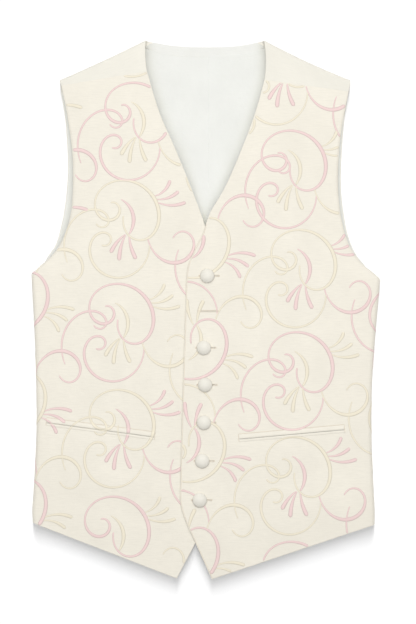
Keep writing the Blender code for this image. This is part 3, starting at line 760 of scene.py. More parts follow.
def band_profile(share, from_end):
    """Height of a sewn band from 0 to 1: a flat-topped arch across it, rounded at its ends."""
    arch = np.clip(1.0 - np.abs(2.0 * share - 1.0) ** 3.0, 0.0, 1.0)
    end = np.clip(1.0 - np.clip(1.0 - from_end / BAND_END_ROUNDING, 0.0, 1.0) ** 2, 0.0, 1.0)
    return np.sqrt(arch * end)


def band_height(jet, share, from_end):
    """Height of a band at a share of its width from the mouth, from_end in from its end."""
    rise = jet.near_rise + share * (jet.far_rise - jet.near_rise)
    return rise * band_profile(share, from_end)


def band_rise(side, flat):
    """How far the pocket's bands lift what is laid over them; in the mouth it sinks instead."""
    start, ahead, up, length = mouth_frame(side)
    off = flat - start
    along, across = off @ ahead, off @ up
    from_end = np.minimum(along, length - along)
    rise = np.zeros(len(flat))
    for jet in JETS:
        share = (across - jet.near) / (jet.far - jet.near)
        on_band = (share > 0.0) & (share < 1.0) & (from_end > 0.0)
        height = band_height(jet, np.clip(share, 0.0, 1.0), np.maximum(from_end, 0.0))
        rise = np.where(on_band, height, rise)
    in_mouth = (np.abs(across) < MOUTH_HALF_WIDTH) & (from_end > 0.0)
    return np.where(in_mouth, -MOUTH_SINK, rise)


def edge_steps(wall):
    """Distances in from a rounded edge, at equal angles round its quarter circle."""
    return wall / 2.0 * (1.0 - np.cos(np.linspace(0.0, math.pi / 2.0, ROUNDING_POINTS)))


def spread(lengths, count, wall):
    """Places from 0 to each length: close at both ends, where edges are rounded, else even."""
    near = edge_steps(wall)
    lengths = np.atleast_1d(np.asarray(lengths, float))[:, None]
    share = np.linspace(0.0, 1.0, count + 1)[1:-1]
    middle = near[-1] + share * (lengths - 2.0 * near[-1])
    return np.concatenate([near + 0.0 * lengths, middle, lengths - near[::-1]], axis=1)


def grid_quads(index):
    """Quads of a grid of vertex numbers."""
    quads = np.stack([index[:-1, :-1], index[:-1, 1:], index[1:, 1:], index[1:, :-1]], axis=-1)
    return quads.reshape(-1, 4)


def closed_layers(over, under, normals):
    """Points, quads and the grid place of each point, for two layers that share their border.

    The layer over faces along the normals, and the one under faces the other way.
    """
    rows, columns = over.shape[:2]
    outer = np.arange(rows * columns).reshape(rows, columns)
    inner = outer.copy()
    inside = np.arange((rows - 2) * (columns - 2)).reshape(rows - 2, columns - 2)
    inner[1:-1, 1:-1] = rows * columns + inside
    points = np.concatenate([over.reshape(-1, 3), under[1:-1, 1:-1].reshape(-1, 3)])
    place = np.concatenate([outer.ravel(), outer[1:-1, 1:-1].ravel()])
    top, bottom = grid_quads(outer), grid_quads(inner)
    r, c = rows // 2, columns // 2
    turned = np.cross(over[r, c + 1] - over[r, c], over[r + 1, c] - over[r, c])
    if turned @ normals[r, c] > 0.0:
        bottom = bottom[:, ::-1]
    else:
        top = top[:, ::-1]
    return points, np.concatenate([top, bottom]), place


def shell_layers(face, normals, wall, to_edge):
    """Both layers of a cloth, which meet in a rounded edge.

    The face is moved in by half the wall, then out and in along its normals by half the wall
    times the root of 1 - q^2, where q falls from 1 at the edge to 0 half a wall in.
    """
    q = np.clip(1.0 - to_edge / (wall / 2.0), 0.0, 1.0)
    half = (wall / 2.0 * np.sqrt(1.0 - q * q))[..., None]
    middle = face - wall / 2.0 * normals
    return middle + half * normals, middle - half * normals


def grid_normals(face, upward_at):
    """Unit normals of a grid of points, turned so that the one at upward_at points up."""
    normals = np.cross(np.gradient(face, axis=1), np.gradient(face, axis=0))
    normals /= np.maximum(np.linalg.norm(normals, axis=2, keepdims=True), TINY)
    return normals * np.sign(normals[upward_at][2])


def add_mesh_object(name, points, faces, flat, finish):
    """One smooth-shaded mesh in metres, with its flat cloth coordinates as its UV map."""
    mesh = bpy.data.meshes.new(name)
    mesh.from_pydata((points * MM).tolist(), [], [list(face) for face in faces])
    corners = np.empty(len(mesh.loops), np.int32)
    mesh.loops.foreach_get("vertex_index", corners)
    uv = mesh.uv_layers.new(name="flat")
    uv.data.foreach_set("uv", (flat[corners] * MM).astype(np.float32).ravel())
    mesh.shade_smooth()
    mesh.materials.append(finish)
    made = bpy.data.objects.new(name, mesh)
    bpy.context.scene.collection.objects.link(made)
    return made


def dress(made, slot, *nodes):
    """The piece moves with the garment and stands for the nodes, which are hidden; slot is not
    used.
    """
    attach(made, "root")
    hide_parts(*nodes)
    return made


def add_cloth(name, face, normals, wall, to_edge, flat, finish):
    """A closed shell of cloth whose outer layer lies on the face."""
    over, under = shell_layers(face, normals, wall, to_edge)
    points, quads, place = closed_layers(over, under, normals)
    return add_mesh_object(name, points, quads.tolist(), flat.reshape(-1, 2)[place], finish)


def new_shader(name, colour, roughness, sheen):
    """A material whose even settings stand on its shader's own sockets."""
    material = bpy.data.materials.new(name)
    material.use_nodes = True
    material.diffuse_color = (*colour, 1.0)
    shader = material.node_tree.nodes["Principled BSDF"]
    shader.inputs["Roughness"].default_value = roughness
    shader.inputs["Specular IOR Level"].default_value = 0.3
    shader.inputs["Sheen Weight"].default_value = sheen
    shader.inputs["Sheen Roughness"].default_value = 0.5
    return material, material.node_tree, shader


def add_node(tree, kind, settings, inputs):
    """A node with its settings, and its inputs set or, where one is a socket, linked."""
    node = tree.nodes.new(kind)
    for name, value in settings.items():
        setattr(node, name, value)
    for key, value in inputs.items():
        if isinstance(value, bpy.types.NodeSocket):
            tree.links.new(value, node.inputs[key])
        else:
            node.inputs[key].default_value = value
    return node


def flat_coordinates(tree, scale):
    """The piece's flat cloth coordinates in metres, each times its own scale."""
    uv = add_node(tree, "ShaderNodeUVMap", {"uv_map": "flat"}, {})
    inputs = {"Vector": uv.outputs["UV"], "Scale": scale}
    return add_node(tree, "ShaderNodeMapping", {}, inputs).outputs["Vector"]


def stretched(tree, value, low, high):
    """A value from low to high stretched to 0 to 1, and held to them past those."""
    inputs = {"Value": value, "From Min": low, "From Max": high}
    return add_node(tree, "ShaderNodeMapRange", {"clamp": True}, inputs).outputs["Result"]


def noise(tree, kind):
    """Noise over the flat cloth."""
    vector = flat_coordinates(tree, kind.scale)
    inputs = {"Vector": vector, "Scale": 1.0, "Detail": kind.detail, "Roughness": 0.55}
    made = add_node(tree, "ShaderNodeTexNoise", {}, inputs)
    return stretched(tree, made.outputs["Fac"], kind.low, kind.high)


def thread_rows(tree, vector, direction, pitch_mm):
    """Even rows of threads across the direction, as a wave of the given pitch.

    The node's wave goes through 20 radians in each metre, times its scale.
    """
    settings = {"wave_type": "BANDS", "bands_direction": direction, "wave_profile": "SIN"}
    scale = 2.0 * math.pi / 20.0 / (pitch_mm * MM)
    inputs = {"Vector": vector, "Scale": scale, "Distortion": 0.6, "Detail": 1.0}
    return add_node(tree, "ShaderNodeTexWave", settings, inputs).outputs["Fac"]


def arithmetic(tree, operation, *values):
    """One step of arithmetic on numbers and sockets."""
    inputs = dict(enumerate(values))
    return add_node(tree, "ShaderNodeMath", {"operation": operation}, inputs).outputs[0]


def blend_colours(tree, factor, first, second):
    """Colour that goes from first to second as the factor goes from 0 to 1.

    The node's inputs 0, 6 and 7 are its factor and its two colours, and output 2 the blend.
    """
    inputs = {0: factor, 6: first, 7: second}
    return add_node(tree, "ShaderNodeMix", {"data_type": "RGBA"}, inputs).outputs[2]


def bump(tree, height, strength, depth_mm, over=None):
    """The normal bent by a height, over another bump's normal where one is given."""
    inputs = {"Height": height, "Strength": strength, "Distance": depth_mm * MM}
    if over is not None:
        inputs["Normal"] = over
    return add_node(tree, "ShaderNodeBump", {}, inputs).outputs["Normal"]


def shade(colour, factor):
    """A colour made brighter or darker, with its opacity, for a node."""
    return (*(channel * factor for channel in colour), 1.0)


def woven_cloth(name, colour):
    """Plain-woven cloth: crossing threads, thicker slubs along the weft, and cloudy tone.

    The height is the weave plus the slubs. The colour falls a little in the slubs' shadow and
    varies slowly over the piece.
    """
    weave = WEAVES[name]
    material, tree, shader = new_shader(name, colour, weave.roughness, weave.sheen)
    plain = flat_coordinates(tree, (1.0, 1.0, 1.0))
    warp, weft = (thread_rows(tree, plain, direction, weave.pitch) for direction in "XY")
    crossings = arithmetic(tree, "MULTIPLY", warp, weft)
    slubs, clouds, puckers = (noise(tree, kind) for kind in (SLUBS, CLOUDS, PUCKERS))
    tone = blend_colours(tree, clouds, *(shade(colour, factor) for factor in CLOUD_SHADES))
    streaked = arithmetic(tree, "MULTIPLY", slubs, weave.slub)
    tinted = blend_colours(tree, streaked, tone, shade(colour, SLUB_SHADE))
    tree.links.new(tinted, shader.inputs["Base Color"])
    height = arithmetic(tree, "MULTIPLY_ADD", slubs, SLUB_HEIGHT, crossings)
    rough = bump(tree, height, WEAVE_BUMP, weave.relief)
    soft = bump(tree, puckers, WEAVE_BUMP, PUCKER_DEPTH, rough)
    tree.links.new(soft, shader.inputs["Normal"])
    return material


def satin_thread(name, colour):
    """Satin-stitched thread: rows of stitches across the stroke, darker towards its two edges. The
    darker edges are painted shade where the raised stroke rounds down to the cloth.

    The UV map runs along the stroke in metres, and across it from -1 to 1 thousandths.
    """
    material, tree, shader = new_shader(name, colour, THREAD_ROUGHNESS, THREAD_SHEEN)
    across = flat_coordinates(tree, (0.0, 1.0 / MM, 0.0))
    parts = add_node(tree, "ShaderNodeSeparateXYZ", {}, {"Vector": across})
    off_middle = arithmetic(tree, "ABSOLUTE", parts.outputs["Y"])
    edge = stretched(tree, off_middle, STROKE_EDGE, 1.0)
    along = flat_coordinates(tree, STITCH_SCALE)
    stitches = thread_rows(tree, along, "X", STITCH_PITCH)
    # Painted highlight and shade: lighter on the stitches' crests, darker between them.
    tone = blend_colours(tree, stitches, *(shade(colour, factor) for factor in STITCH_PAINTED_SHADES))
    edge_shaded = blend_colours(tree, edge, tone, shade(colour, STROKE_EDGE_PAINTED_SHADE))
    tree.links.new(edge_shaded, shader.inputs["Base Color"])
    relief = bump(tree, stitches, STITCH_BUMP, STITCH_DEPTH)
    tree.links.new(relief, shader.inputs["Normal"])
    return material


def colour_setting(name, description, default):
    """A colour of the settings, which a user can change."""
    return bpy.props.FloatVectorProperty(
        name=name,
        description=description,
        subtype="COLOR",
        size=3,
        min=0.0,
        max=1.0,
        default=default,
    )


class WaistcoatLook(bpy.types.PropertyGroup):
    """Sizes and colours that a user would change."""

    front_colour: colour_setting(
        "Front cloth", "Colour of the cloth of the fronts and pockets", (0.795, 0.755, 0.66)
    )
    yoke_colour: colour_setting(
        "Back cloth", "Colour of the back and its forward yokes", (0.77, 0.745, 0.665)
    )
    lining_colour: colour_setting(
        "Lining", "Colour of the linings of the fronts and the back", (0.722, 0.726, 0.69)
    )
    facing_colour: colour_setting(
        "Neck facing", "Colour of the band inside the back neck", (0.735, 0.735, 0.697)
    )
    button_colour: colour_setting(
        "Button cloth", "Colour of the cloth over the buttons", (0.76, 0.735, 0.66)
    )
    # Brown stitching thread, darker than the cloth: partly the thread's own colour, partly painted
    # shade for the slits, the bands' seams and the lapped edge.
    stitch_and_shade_colour: colour_setting(
        "Buttonhole thread", "Colour of the thread round the buttonholes", (0.74, 0.66, 0.54)
    )
    pink_colour: colour_setting(
        "Pink thread", "Colour of the pink embroidery", (0.775, 0.595, 0.575)
    )
    gold_colour: colour_setting("Gold thread", "Colour of the gold embroidery", (0.78, 0.72, 0.58))
    thread_lift: bpy.props.FloatProperty(
        name="Embroidery height",
        description="How far the embroidery stands off the cloth",
        subtype="DISTANCE",
        unit="LENGTH",
        min=0.0001,
        max=0.001,
        default=0.00020,
        precision=5,
    )
    thread_width: bpy.props.FloatProperty(
        name="Embroidery width",
        description="Width of the embroidered strokes, where 1 is the width in the motif",
        subtype="FACTOR",
        min=0.5,
        max=1.5,
        default=1.0,
    )
    floor_colour: colour_setting(
        "Floor", "Colour of the surface that the waistcoat lies on", (0.96, 0.96, 0.96)
    )


FORMS = {side: FrontForm(side) for side in SIDES}


def front_sheet(side, wall, inset, counts):
    """A grid over a front: its face, its normals, how far in from the edge and its flat cut."""
    form = FORMS[side]
    rows, on_top, round_roll = counts
    near = edge_steps(wall)
    place = np.concatenate(
        [
            inset + near,
            np.linspace(inset + wall, form.length - inset - wall, rows),
            form.length - inset - near[::-1],
        ]
    )
    row = form.sections(place)
    flat_width = form.top_width(row)[:, None]
    roll = form.roll_length(row)[:, None]
    start, stop = inset + near[-1], inset + near[::-1]
    share = np.linspace(0.0, 1.0, on_top + 1)[1:]
    rolled = np.linspace(0.0, 1.0, round_roll + 1)[1:-1]
    along = np.concatenate(
        [
            inset + near + 0.0 * flat_width,
            start + share * (flat_width - start),
            flat_width + rolled * (roll - stop[0]),
            flat_width + roll - stop,
        ],
        axis=1,
    )
    to_edge = np.minimum(along, flat_width + roll - along)
    to_end = np.minimum(place, form.length - place)[:, None]
    to_edge = np.maximum(np.minimum(to_edge, to_end) - inset, 0.0)
    place = place[:, None] + 0.0 * along
    face, normals = form.point_and_normal(place, along)
    return face, normals, to_edge, form.flat_point(place, along)


def buttonhole_middles():
    """Middle of each slit in the left front's lap: one for each button, and the empty one."""
    offset = BUTTONHOLE_RUN_OUT - BUTTONHOLE_LENGTH / 2.0
    return [(button.x + offset, button.y) for button in BUTTONS] + [EMPTY_BUTTONHOLE]


def slot_cutter(side):
    """Closed slim blocks, one for each slit that is cut through the outer cloth of a front."""
    form = FORMS[side]
    start, ahead, _, length = mouth_frame(side)
    slits = [(start + ahead * length / 2.0, ahead, length - MOUTH_UNCUT, MOUTH_SLIT)]
    if side == "left":
        level, cut = np.array([1.0, 0.0]), BUTTONHOLE_LENGTH - BUTTONHOLE_UNCUT
        slits += [(np.array(at), level, cut, BUTTONHOLE_SLIT) for at in buttonhole_middles()]
    points, faces = [], []
    for middle, direction, long, wide in slits:
        square = np.array([-direction[1], direction[0]])
        ends = np.array([-1.0, 1.0]) * long / 2.0
        edges = np.array([-1.0, 1.0]) * wide / 2.0
        corners = [middle + a * direction + b * square for a in ends for b in edges]
        plan = np.array([corners[i] for i in (0, 2, 3, 1)])
        place, along, _, _ = form.find(plan)
        height = form.point(place, along)[:, 2]
        a = len(points)
        points += [(*p, z - FRONT_CLOTH - CUT_BELOW) for p, z in zip(plan, height)]
        points += [(*p, z + CUT_ABOVE) for p, z in zip(plan, height)]
        faces += [(a + 3, a + 2, a + 1, a), (a + 4, a + 5, a + 6, a + 7)]
        faces += [(a + i, a + (i + 1) % 4, a + 4 + (i + 1) % 4, a + 4 + i) for i in range(4)]
    mesh = bpy.data.meshes.new("slit_cutter")
    mesh.from_pydata((np.array(points) * MM).tolist(), [], faces)
    cutter = bpy.data.objects.new("slit_cutter", mesh)
    bpy.context.scene.collection.objects.link(cutter)
    return cutter


def cut_slits(front, side):
    """Cuts the pocket mouth and, on the left, the buttonholes through the outer cloth."""
    cutter = slot_cutter(side)
    cut = front.modifiers.new("slits", "BOOLEAN")
    cut.operation = "DIFFERENCE"
    cut.solver = "EXACT"
    cut.object = cutter
    graph = bpy.context.evaluated_depsgraph_get()
    mesh = bpy.data.meshes.new_from_object(front.evaluated_get(graph))
    front.modifiers.clear()
    front.data = mesh
    mesh.set_sharp_from_angle(angle=math.radians(SHARP_ANGLE))
    bpy.data.objects.remove(cutter, do_unlink=True)


def add_front(side, finish):
    """The outer cloth of a front, with its slits; its flat cut is returned with it."""
    face, normals, to_edge, flat = front_sheet(side, FRONT_CLOTH, 0.0, FRONT_GRID)
    made = add_cloth(f"cloth_front_{side}", face, normals, FRONT_CLOTH, to_edge, flat, finish)
    cut_slits(made, side)
    return dress(made, "front_cloth", f"front_{side}"), flat


def add_front_lining(side, finish):
    """The lining lies under the outer cloth and stops a little short of its edges."""
    grid = front_sheet(side, FRONT_LINING, LINING_INSET, FRONT_LINING_GRID)
    face, normals, to_edge, flat = grid
    face = face - LINING_DEPTH * normals
    name = f"lining_front_{side}"
    made = add_cloth(name, face, normals, FRONT_LINING, to_edge, flat, finish)
    dress(made, "lining", f"front_{side}")


def add_jet(side, jet, finish):
    """A pocket band: an arch over its own width, rounded at both ends, on the front's face."""
    form = FORMS[side]
    start, ahead, up, length = mouth_frame(side)
    along = spread(length, BAND_GRID[0], 2.0 * BAND_END_ROUNDING)[0]
    share = (1.0 - np.cos(np.linspace(0.0, math.pi, BAND_GRID[1]))) / 2.0
    across = jet.near + share * (jet.far - jet.near)
    flat = start + along[:, None, None] * ahead + across[:, None] * up
    place, out, _, _ = form.find(flat.reshape(-1, 2))
    base, normals = (grid.reshape(*flat.shape[:2], 3) for grid in form.point_and_normal(place, out))
    from_end = np.minimum(along, length - along)[:, None]
    rise = SEWN_CLEARANCE + band_height(jet, share[None, :], from_end)
    over, under = base + rise[..., None] * normals, base + SEWN_CLEARANCE * normals
    points, quads, order = closed_layers(over, under, normals)
    uv = np.stack(np.broadcast_arrays(along[:, None], across[None, :]), axis=-1)
    name = f"band_{side}_{jet.name}"
    made = add_mesh_object(name, points, quads.tolist(), uv.reshape(-1, 2)[order], finish)
    return dress(made, "front_cloth", f"pocket_{side}_{jet.name}_jet")


def stroke_line(stroke, scale):
    """Points and widths of a stroke, by adding up short steps in its changing heading.

    At each share of the whole turn the radius is read between radii; a small step of turn
    moves the point by that radius times the step, in the heading reached.
    """
    share = np.linspace(0.0, 1.0, TURN_POINTS)
    radii = np.array(stroke.radii * 2 if len(stroke.radii) == 1 else stroke.radii, float)
    radius = np.interp(share, np.linspace(0.0, 1.0, len(radii)), radii)
    heading = np.radians(stroke.heading + stroke.turn * share)
    step = abs(math.radians(stroke.turn)) / (len(share) - 1)
    travel = radius * step
    middle = (heading[1:] + heading[:-1]) / 2.0
    length = (travel[1:] + travel[:-1]) / 2.0
    moves = np.column_stack([np.cos(middle), np.sin(middle)]) * length[:, None]
    line = np.concatenate([[(0.0, 0.0)], np.cumsum(moves, axis=0)]) + (stroke.x, stroke.y)
    run = np.append(0.0, np.cumsum(length))
    count = max(FEWEST_STEPS, math.ceil(run[-1] / STROKE_STEP))
    places = np.linspace(0.0, run[-1], count + 1)
    width = np.interp(places / run[-1], np.linspace(0.0, 1.0, len(stroke.widths)), stroke.widths)
    return columns_at(places, run, line), width * scale


def carried_profile(line, width, profile):
    """A profile carried along a flat line: offsets across it, in half widths, square to it."""
    tangent = np.gradient(line, axis=0)
    tangent /= np.maximum(np.linalg.norm(tangent, axis=1, keepdims=True), TINY)
    square = np.column_stack([-tangent[:, 1], tangent[:, 0]])
    across = width[:, None] / 2.0 * profile[None, :, 0]
    return line[:, None, :] + across[..., None] * square[:, None, :]


def round_ends(line, width):
    """Widths drawn in at both ends as a half circle, so that a stroke ends round, and the run."""
    run = run_along(line)
    from_end = np.minimum(run, run[-1] - run)
    q = np.clip(1.0 - from_end / (width / 2.0), 0.0, 1.0)
    return width * np.maximum(np.sqrt(1.0 - q * q), ROUND_TIP), run


def stroke_runs(form, line):
    """First and last point of each stretch of a line that lies on the cloth."""
    on = form.on_cloth(line).astype(int)
    edges = np.diff(np.concatenate([[0], on, [0]]))
    starts, stops = np.flatnonzero(edges == 1), np.flatnonzero(edges == -1)
    return [(a, b) for a, b in zip(starts, stops) if b - a >= SHORTEST_RUN]


def tube_faces(rings, around, closed):
    """Quads along a tube of rings, and its two ends as one face each where it is open."""
    index = np.arange(rings * around).reshape(rings, around)
    after = np.roll(index, -1, axis=1)
    if closed:
        index, after = np.vstack([index, index[:1]]), np.vstack([after, after[:1]])
    quads = np.stack([index[:-1], after[:-1], after[1:], index[1:]], axis=-1).reshape(-1, 4)
    faces = quads.tolist()
    if not closed:
        faces += [index[0][::-1].tolist(), index[-1].tolist()]
    return faces


def lay_tubes(name, side, tubes, profile, closed, finish):
    """Tubes laid on a front as one mesh: each is its rings on the flat cut, the lift of each of
    their points, and the distance along it."""
    flats, lifts, maps, faces, start = [], [], [], [], 0
    for rings, lift, run in tubes:
        flats.append(rings.reshape(-1, 2))
        lifts.append(lift.ravel())
        along_and_across = np.broadcast_arrays(run[:, None], profile[None, :, 0])
        maps.append(np.stack(along_and_across, axis=-1).reshape(-1, 2))
        made = tube_faces(len(rings), len(profile), closed)
        faces += [[start + at for at in face] for face in made]
        start += len(flats[-1])
    points = FORMS[side].lay(np.concatenate(flats), np.concatenate(lifts))
    return add_mesh_object(name, points, faces, np.concatenate(maps), finish)


def lay_strokes(name, side, strokes, lift, finish):
    """Each stroke is a satin profile carried along its line, laid on the front."""
    profile = np.array(SATIN_PROFILE)
    tubes = []
    for line, width in strokes:
        rounded, run = round_ends(line, width)
        thick = lift * (LIFT_SHARE + LIFT_BY_WIDTH * rounded)
        rings = carried_profile(line, rounded, profile)
        tubes.append((rings, thick[:, None] * profile[:, 1], run))
    return lay_tubes(name, side, tubes, profile, False, finish)


def embroidery_strokes(side, thread, scale):
    """Line and widths of each stretch of embroidery in one thread colour on a front."""
    form = FORMS[side]
    found = []
    for repeat in REPEATS[side]:
        other = THREADS[1 - THREADS.index(repeat.colour)]
        flip = np.array([1.0, -1.0 if repeat.turned_over else 1.0])
        for stroke in MOTIF:
            if (repeat.colour if stroke.colour == 1 else other) != thread:
                continue
            line, width = stroke_line(stroke, scale)
            line = line * flip + (repeat.x, repeat.y)
            found += [(line[a:b], width[a:b]) for a, b in stroke_runs(form, line)]
    return found


def add_embroidery(side, thread, scale, lift, finish):
    """All embroidery in one thread colour on a front."""
    strokes = embroidery_strokes(side, thread, scale)
    made = lay_strokes(f"embroidery_{side}_{thread}", side, strokes, lift, finish)
    return dress(made, f"{thread}_thread", f"front_{side}")


def add_band_stitch_and_shade_lines(side, lift, finish):
    """Straight lines of stitches: along the upper band's far edge, and across both its ends. Their
    dark thread is partly their own colour and partly painted shade: the line along the far edge
    stands in for the shade of the band's seam.
    """
    start, ahead, up, length = mouth_frame(side)
    far, low = JETS[0].far + BAND_STITCH_WIDTH / 2.0, JETS[1].far
    lines = (
        (0.0, far, length, far),
        (-BAND_STITCH_GAP, low, -BAND_STITCH_GAP, far),
        (length + BAND_STITCH_GAP, low, length + BAND_STITCH_GAP, far),
    )
    strokes = []
    for from_along, from_across, to_along, to_across in lines:
        first = start + from_along * ahead + from_across * up
        last = start + to_along * ahead + to_across * up
        share = np.linspace(0.0, 1.0, math.ceil(np.linalg.norm(last - first) / STROKE_STEP))
        line = first + share[:, None] * (last - first)
        strokes.append((line, np.full(len(line), BAND_STITCH_WIDTH)))
    made = lay_strokes(f"band_stitching_{side}", side, strokes, lift, finish)
    return dress(made, "front_cloth", f"pocket_{side}_upper_jet")


def add_edge_shadow_line(lift, finish):
    """A dark line down the left front's edge, from the foot of the neck to the hem, shaped as a
    line of stitches. It is painted shade along the lapped edge.
    """
    form = FORMS["left"]
    place = np.arange(LAP_START, form.length - EDGE_SHADOW_INSET, STROKE_STEP)
    line = form.flat_point(place, np.full(len(place), EDGE_SHADOW_INSET))
    strokes = [(line, np.full(len(line), EDGE_SHADOW_WIDTH))]
    made = lay_strokes("front_edge_stitching", "left", strokes, lift, finish)
    return dress(made, "front_cloth", "front_left")


def buttonhole_line(x, y):
    """A long loop round a slit: two straight sides joined by half circles."""
    half, radius = BUTTONHOLE_LENGTH / 2.0 - LOOP_END, LOOP_RADIUS
    turns = np.linspace(-math.pi / 2.0, math.pi / 2.0, LOOP_END_POINTS)
    sides = np.linspace(-half, half, LOOP_SIDE_POINTS)
    right = np.column_stack([half + radius * np.cos(turns), radius * np.sin(turns)])
    upper = np.column_stack([sides[::-1], np.full(len(sides), radius)])[1:-1]
    lower = np.column_stack([sides, np.full(len(sides), -radius)])[1:-1]
    return np.concatenate([right, upper, -right, lower]) + (x, y)


def add_buttonholes(finish):
    """A round cord of stitches carried round each slit of the left front."""
    turns = np.linspace(0.0, 2.0 * math.pi, CORD_SEGMENTS, endpoint=False)
    profile = np.column_stack([np.cos(turns), np.sin(turns)])
    tubes = []
    for x, y in buttonhole_middles():
        line = buttonhole_line(x, y)
        looped = np.vstack([line[-1:], line, line[:1]])
        past = np.abs(looped[:, 0] - x) - CORD_END_START
        width = CORD_WIDTH + CORD_END_WIDENING * smooth(past / CORD_END_BLEND)
        rings = carried_profile(looped, width, profile)[1:-1]
        lift = SEWN_CLEARANCE + CORD_HEIGHT * width[1:-1, None] * profile[:, 1]
        tubes.append((rings, lift, run_along(line)))
    made = lay_tubes("buttonhole_stitching", "left", tubes, profile, True, finish)
    return dress(made, "front_cloth", "front_left")


def add_button(number, button, finish):
    """A covered button: rings from shank to crown, carried round in an ellipse each."""
    dome = np.array(DOME_RINGS)
    knots = run_along(dome[:, [0, 2]])
    smooth_dome = through_points(knots, dome, np.linspace(0.0, knots[-1], DOME_ROWS))
    rings = np.concatenate([np.array(SHANK_RINGS), smooth_dome])
    turns = np.linspace(0.0, 2.0 * math.pi, BUTTON_SEGMENTS, endpoint=False)
    x = button.x + rings[:, 0:1] * np.cos(turns)
    y = button.y + rings[:, 1:2] * np.sin(turns)
    z = STAND_TOP + rings[:, 2:3] + 0.0 * turns
    points = np.stack([x, y, z], axis=-1).reshape(-1, 3)
    faces = tube_faces(len(rings), BUTTON_SEGMENTS, False)
    run = run_along(rings[:, [0, 2]])
    from_crown = (run[-1] - run)[:, None]
    flat = np.stack([from_crown * np.cos(turns), from_crown * np.sin(turns)], axis=-1)
    name = f"covered_button_{number}"
    made = add_mesh_object(name, points, faces, flat.reshape(-1, 2) + button, finish)
    return dress(made, "button_cloth", f"button_{number}")


def neck_point(side, share):
    """Points of the back neck edge, from its lowest point at 0 to the neck point at 1."""
    share = np.asarray(share, float)
    x = NECK_LOW_X + share * (NECK_POINT_X[side] - NECK_LOW_X)
    y = NECK_LOW_Y + share**NECK_POWER * (NECK_POINT_Y - NECK_LOW_Y)
    return np.stack([x, y], axis=-1)


def facing_point(side, share, width):
    """The neck edge moved in, square to the curve."""
    share = np.asarray(share, float)
    before = np.maximum(share - NECK_SLOPE_STEP, 0.0)
    ahead = neck_point(side, share + NECK_SLOPE_STEP) - neck_point(side, before)
    ahead /= np.linalg.norm(ahead, axis=-1, keepdims=True)
    inward = np.stack([ahead[..., 1], -ahead[..., 0]], axis=-1) * side_sign(side)
    return neck_point(side, share) + width * inward


def fold_line(side, along, inward):
    """A point beside the shoulder fold: along it from the neck point, and in from it."""
    start = np.array([NECK_POINT_X[side], NECK_POINT_Y])
    end = np.array([SHOULDER_END_X[side], SHOULDER_END_Y])
    ahead = (end - start) / np.linalg.norm(end - start)
    square = np.array([ahead[1], -ahead[0]]) * side_sign(side)
    base = end if along < 0.0 else start
    return base + along * ahead + inward * square


def side_seam(side):
    """The back's side edge from hem to armpit: the ends of the front's wrap, moved in."""
    form = FORMS[side]
    place = np.linspace(form.length, form.armpit, SEAM_GUIDES)
    row = form.sections(place)
    ends = form.point(place, form.top_width(row) + form.roll_length(row))[:, :2]
    ends[:, 0] -= side_sign(side) * SEAM_GAP
    return ends


def panel_guides(side, hem_y, centre_top, neck_edge, last_outer):
    """Inner and outer ends of sections of the back, dense, from hem to shoulder fold.

    They go straight out from the centre back to the side seam, then to the armhole curve, and
    then from the neck edge to the armhole. Each stretch is smooth through its table.
    """
    centre = CENTRE_BACK_X - side_sign(side) * SEAM_PRESS / 2.0
    seam = side_seam(side)
    y = np.linspace(hem_y, seam[-1, 1], SIDE_GUIDES)
    x = np.interp(y, seam[:, 1], seam[:, 0])
    side_rows = np.column_stack([np.full(len(y), centre), y, x, y])
    table = np.array([(seam[-1, 1], *seam[-1]), *BACK_ARMHOLE[side]], float)
    table[-1, 0] = centre_top
    knots = np.arange(len(table), dtype=float)
    places = np.linspace(0.0, knots[-1], ARMHOLE_GUIDES)
    armhole = through_points(knots, table, places)[1:]
    armhole = np.column_stack([np.full(len(armhole), centre), armhole])
    shares = [0.0] + [row.share for row in BACK_NECK[side]] + [SHOULDER_EASE]
    outers = [BACK_ARMHOLE[side][-1][1:], *(row[1:] for row in BACK_NECK[side]), last_outer]
    share = np.linspace(0.0, SHOULDER_EASE, NECK_GUIDES)[1:]
    outer = through_points(np.array(shares), np.array(outers, float), share)
    inner = neck_edge(share)
    return np.concatenate([side_rows, armhole, np.column_stack([inner, outer])])


def back_guides(side):
    """Sections of the back: both ends, height, and the share of the front's own top in it.

    They lie flat from the hem up, go over the shoulder in half an ellipse, and down the yoke.
    How many of them are flat is returned with them.
    """
    neck = np.array([NECK_POINT_X[side], NECK_POINT_Y])
    shoulder = np.array([SHOULDER_END_X[side], SHOULDER_END_Y])
    first = np.array(YOKE_SECTIONS[side][0])
    flat_rows = panel_guides(
        side, BACK_HEM_Y, NECK_LOW_Y, lambda share: neck_point(side, share), first[2:4]
    )
    flat_rows = np.column_stack([flat_rows, np.zeros((len(flat_rows), 2))])

    angle = np.linspace(0.0, math.pi, ROLL_GUIDES)[1:]
    inward = (1.0 - np.sin(angle))[:, None]
    lower_inner = neck_point(side, SHOULDER_EASE) - neck
    below = (angle < math.pi / 2.0)[:, None]
    inner = neck + inward * np.where(below, lower_inner, first[0:2] - neck)
    outer = shoulder + inward * (first[2:4] - shoulder)
    height = SHOULDER_ROLL_HEIGHT * (1.0 - np.cos(angle))
    roll = np.column_stack([inner, outer, height, np.zeros(len(angle))])

    edge = FORMS[side].sections(np.zeros(1))[0, 0:4] - (0.0, YOKE_LAP, 0.0, YOKE_LAP)
    table = np.array([*YOKE_SECTIONS[side], edge])
    knots = np.arange(len(table), dtype=float)
    share = np.linspace(0.0, 1.0, YOKE_GUIDES)[1:]
    plan = through_points(knots, table, share * knots[-1])
    top = np.full(len(share), 2.0 * SHOULDER_ROLL_HEIGHT)
    yoke = np.column_stack([plan, top, share])
    return np.concatenate([flat_rows, roll, yoke]), len(flat_rows)


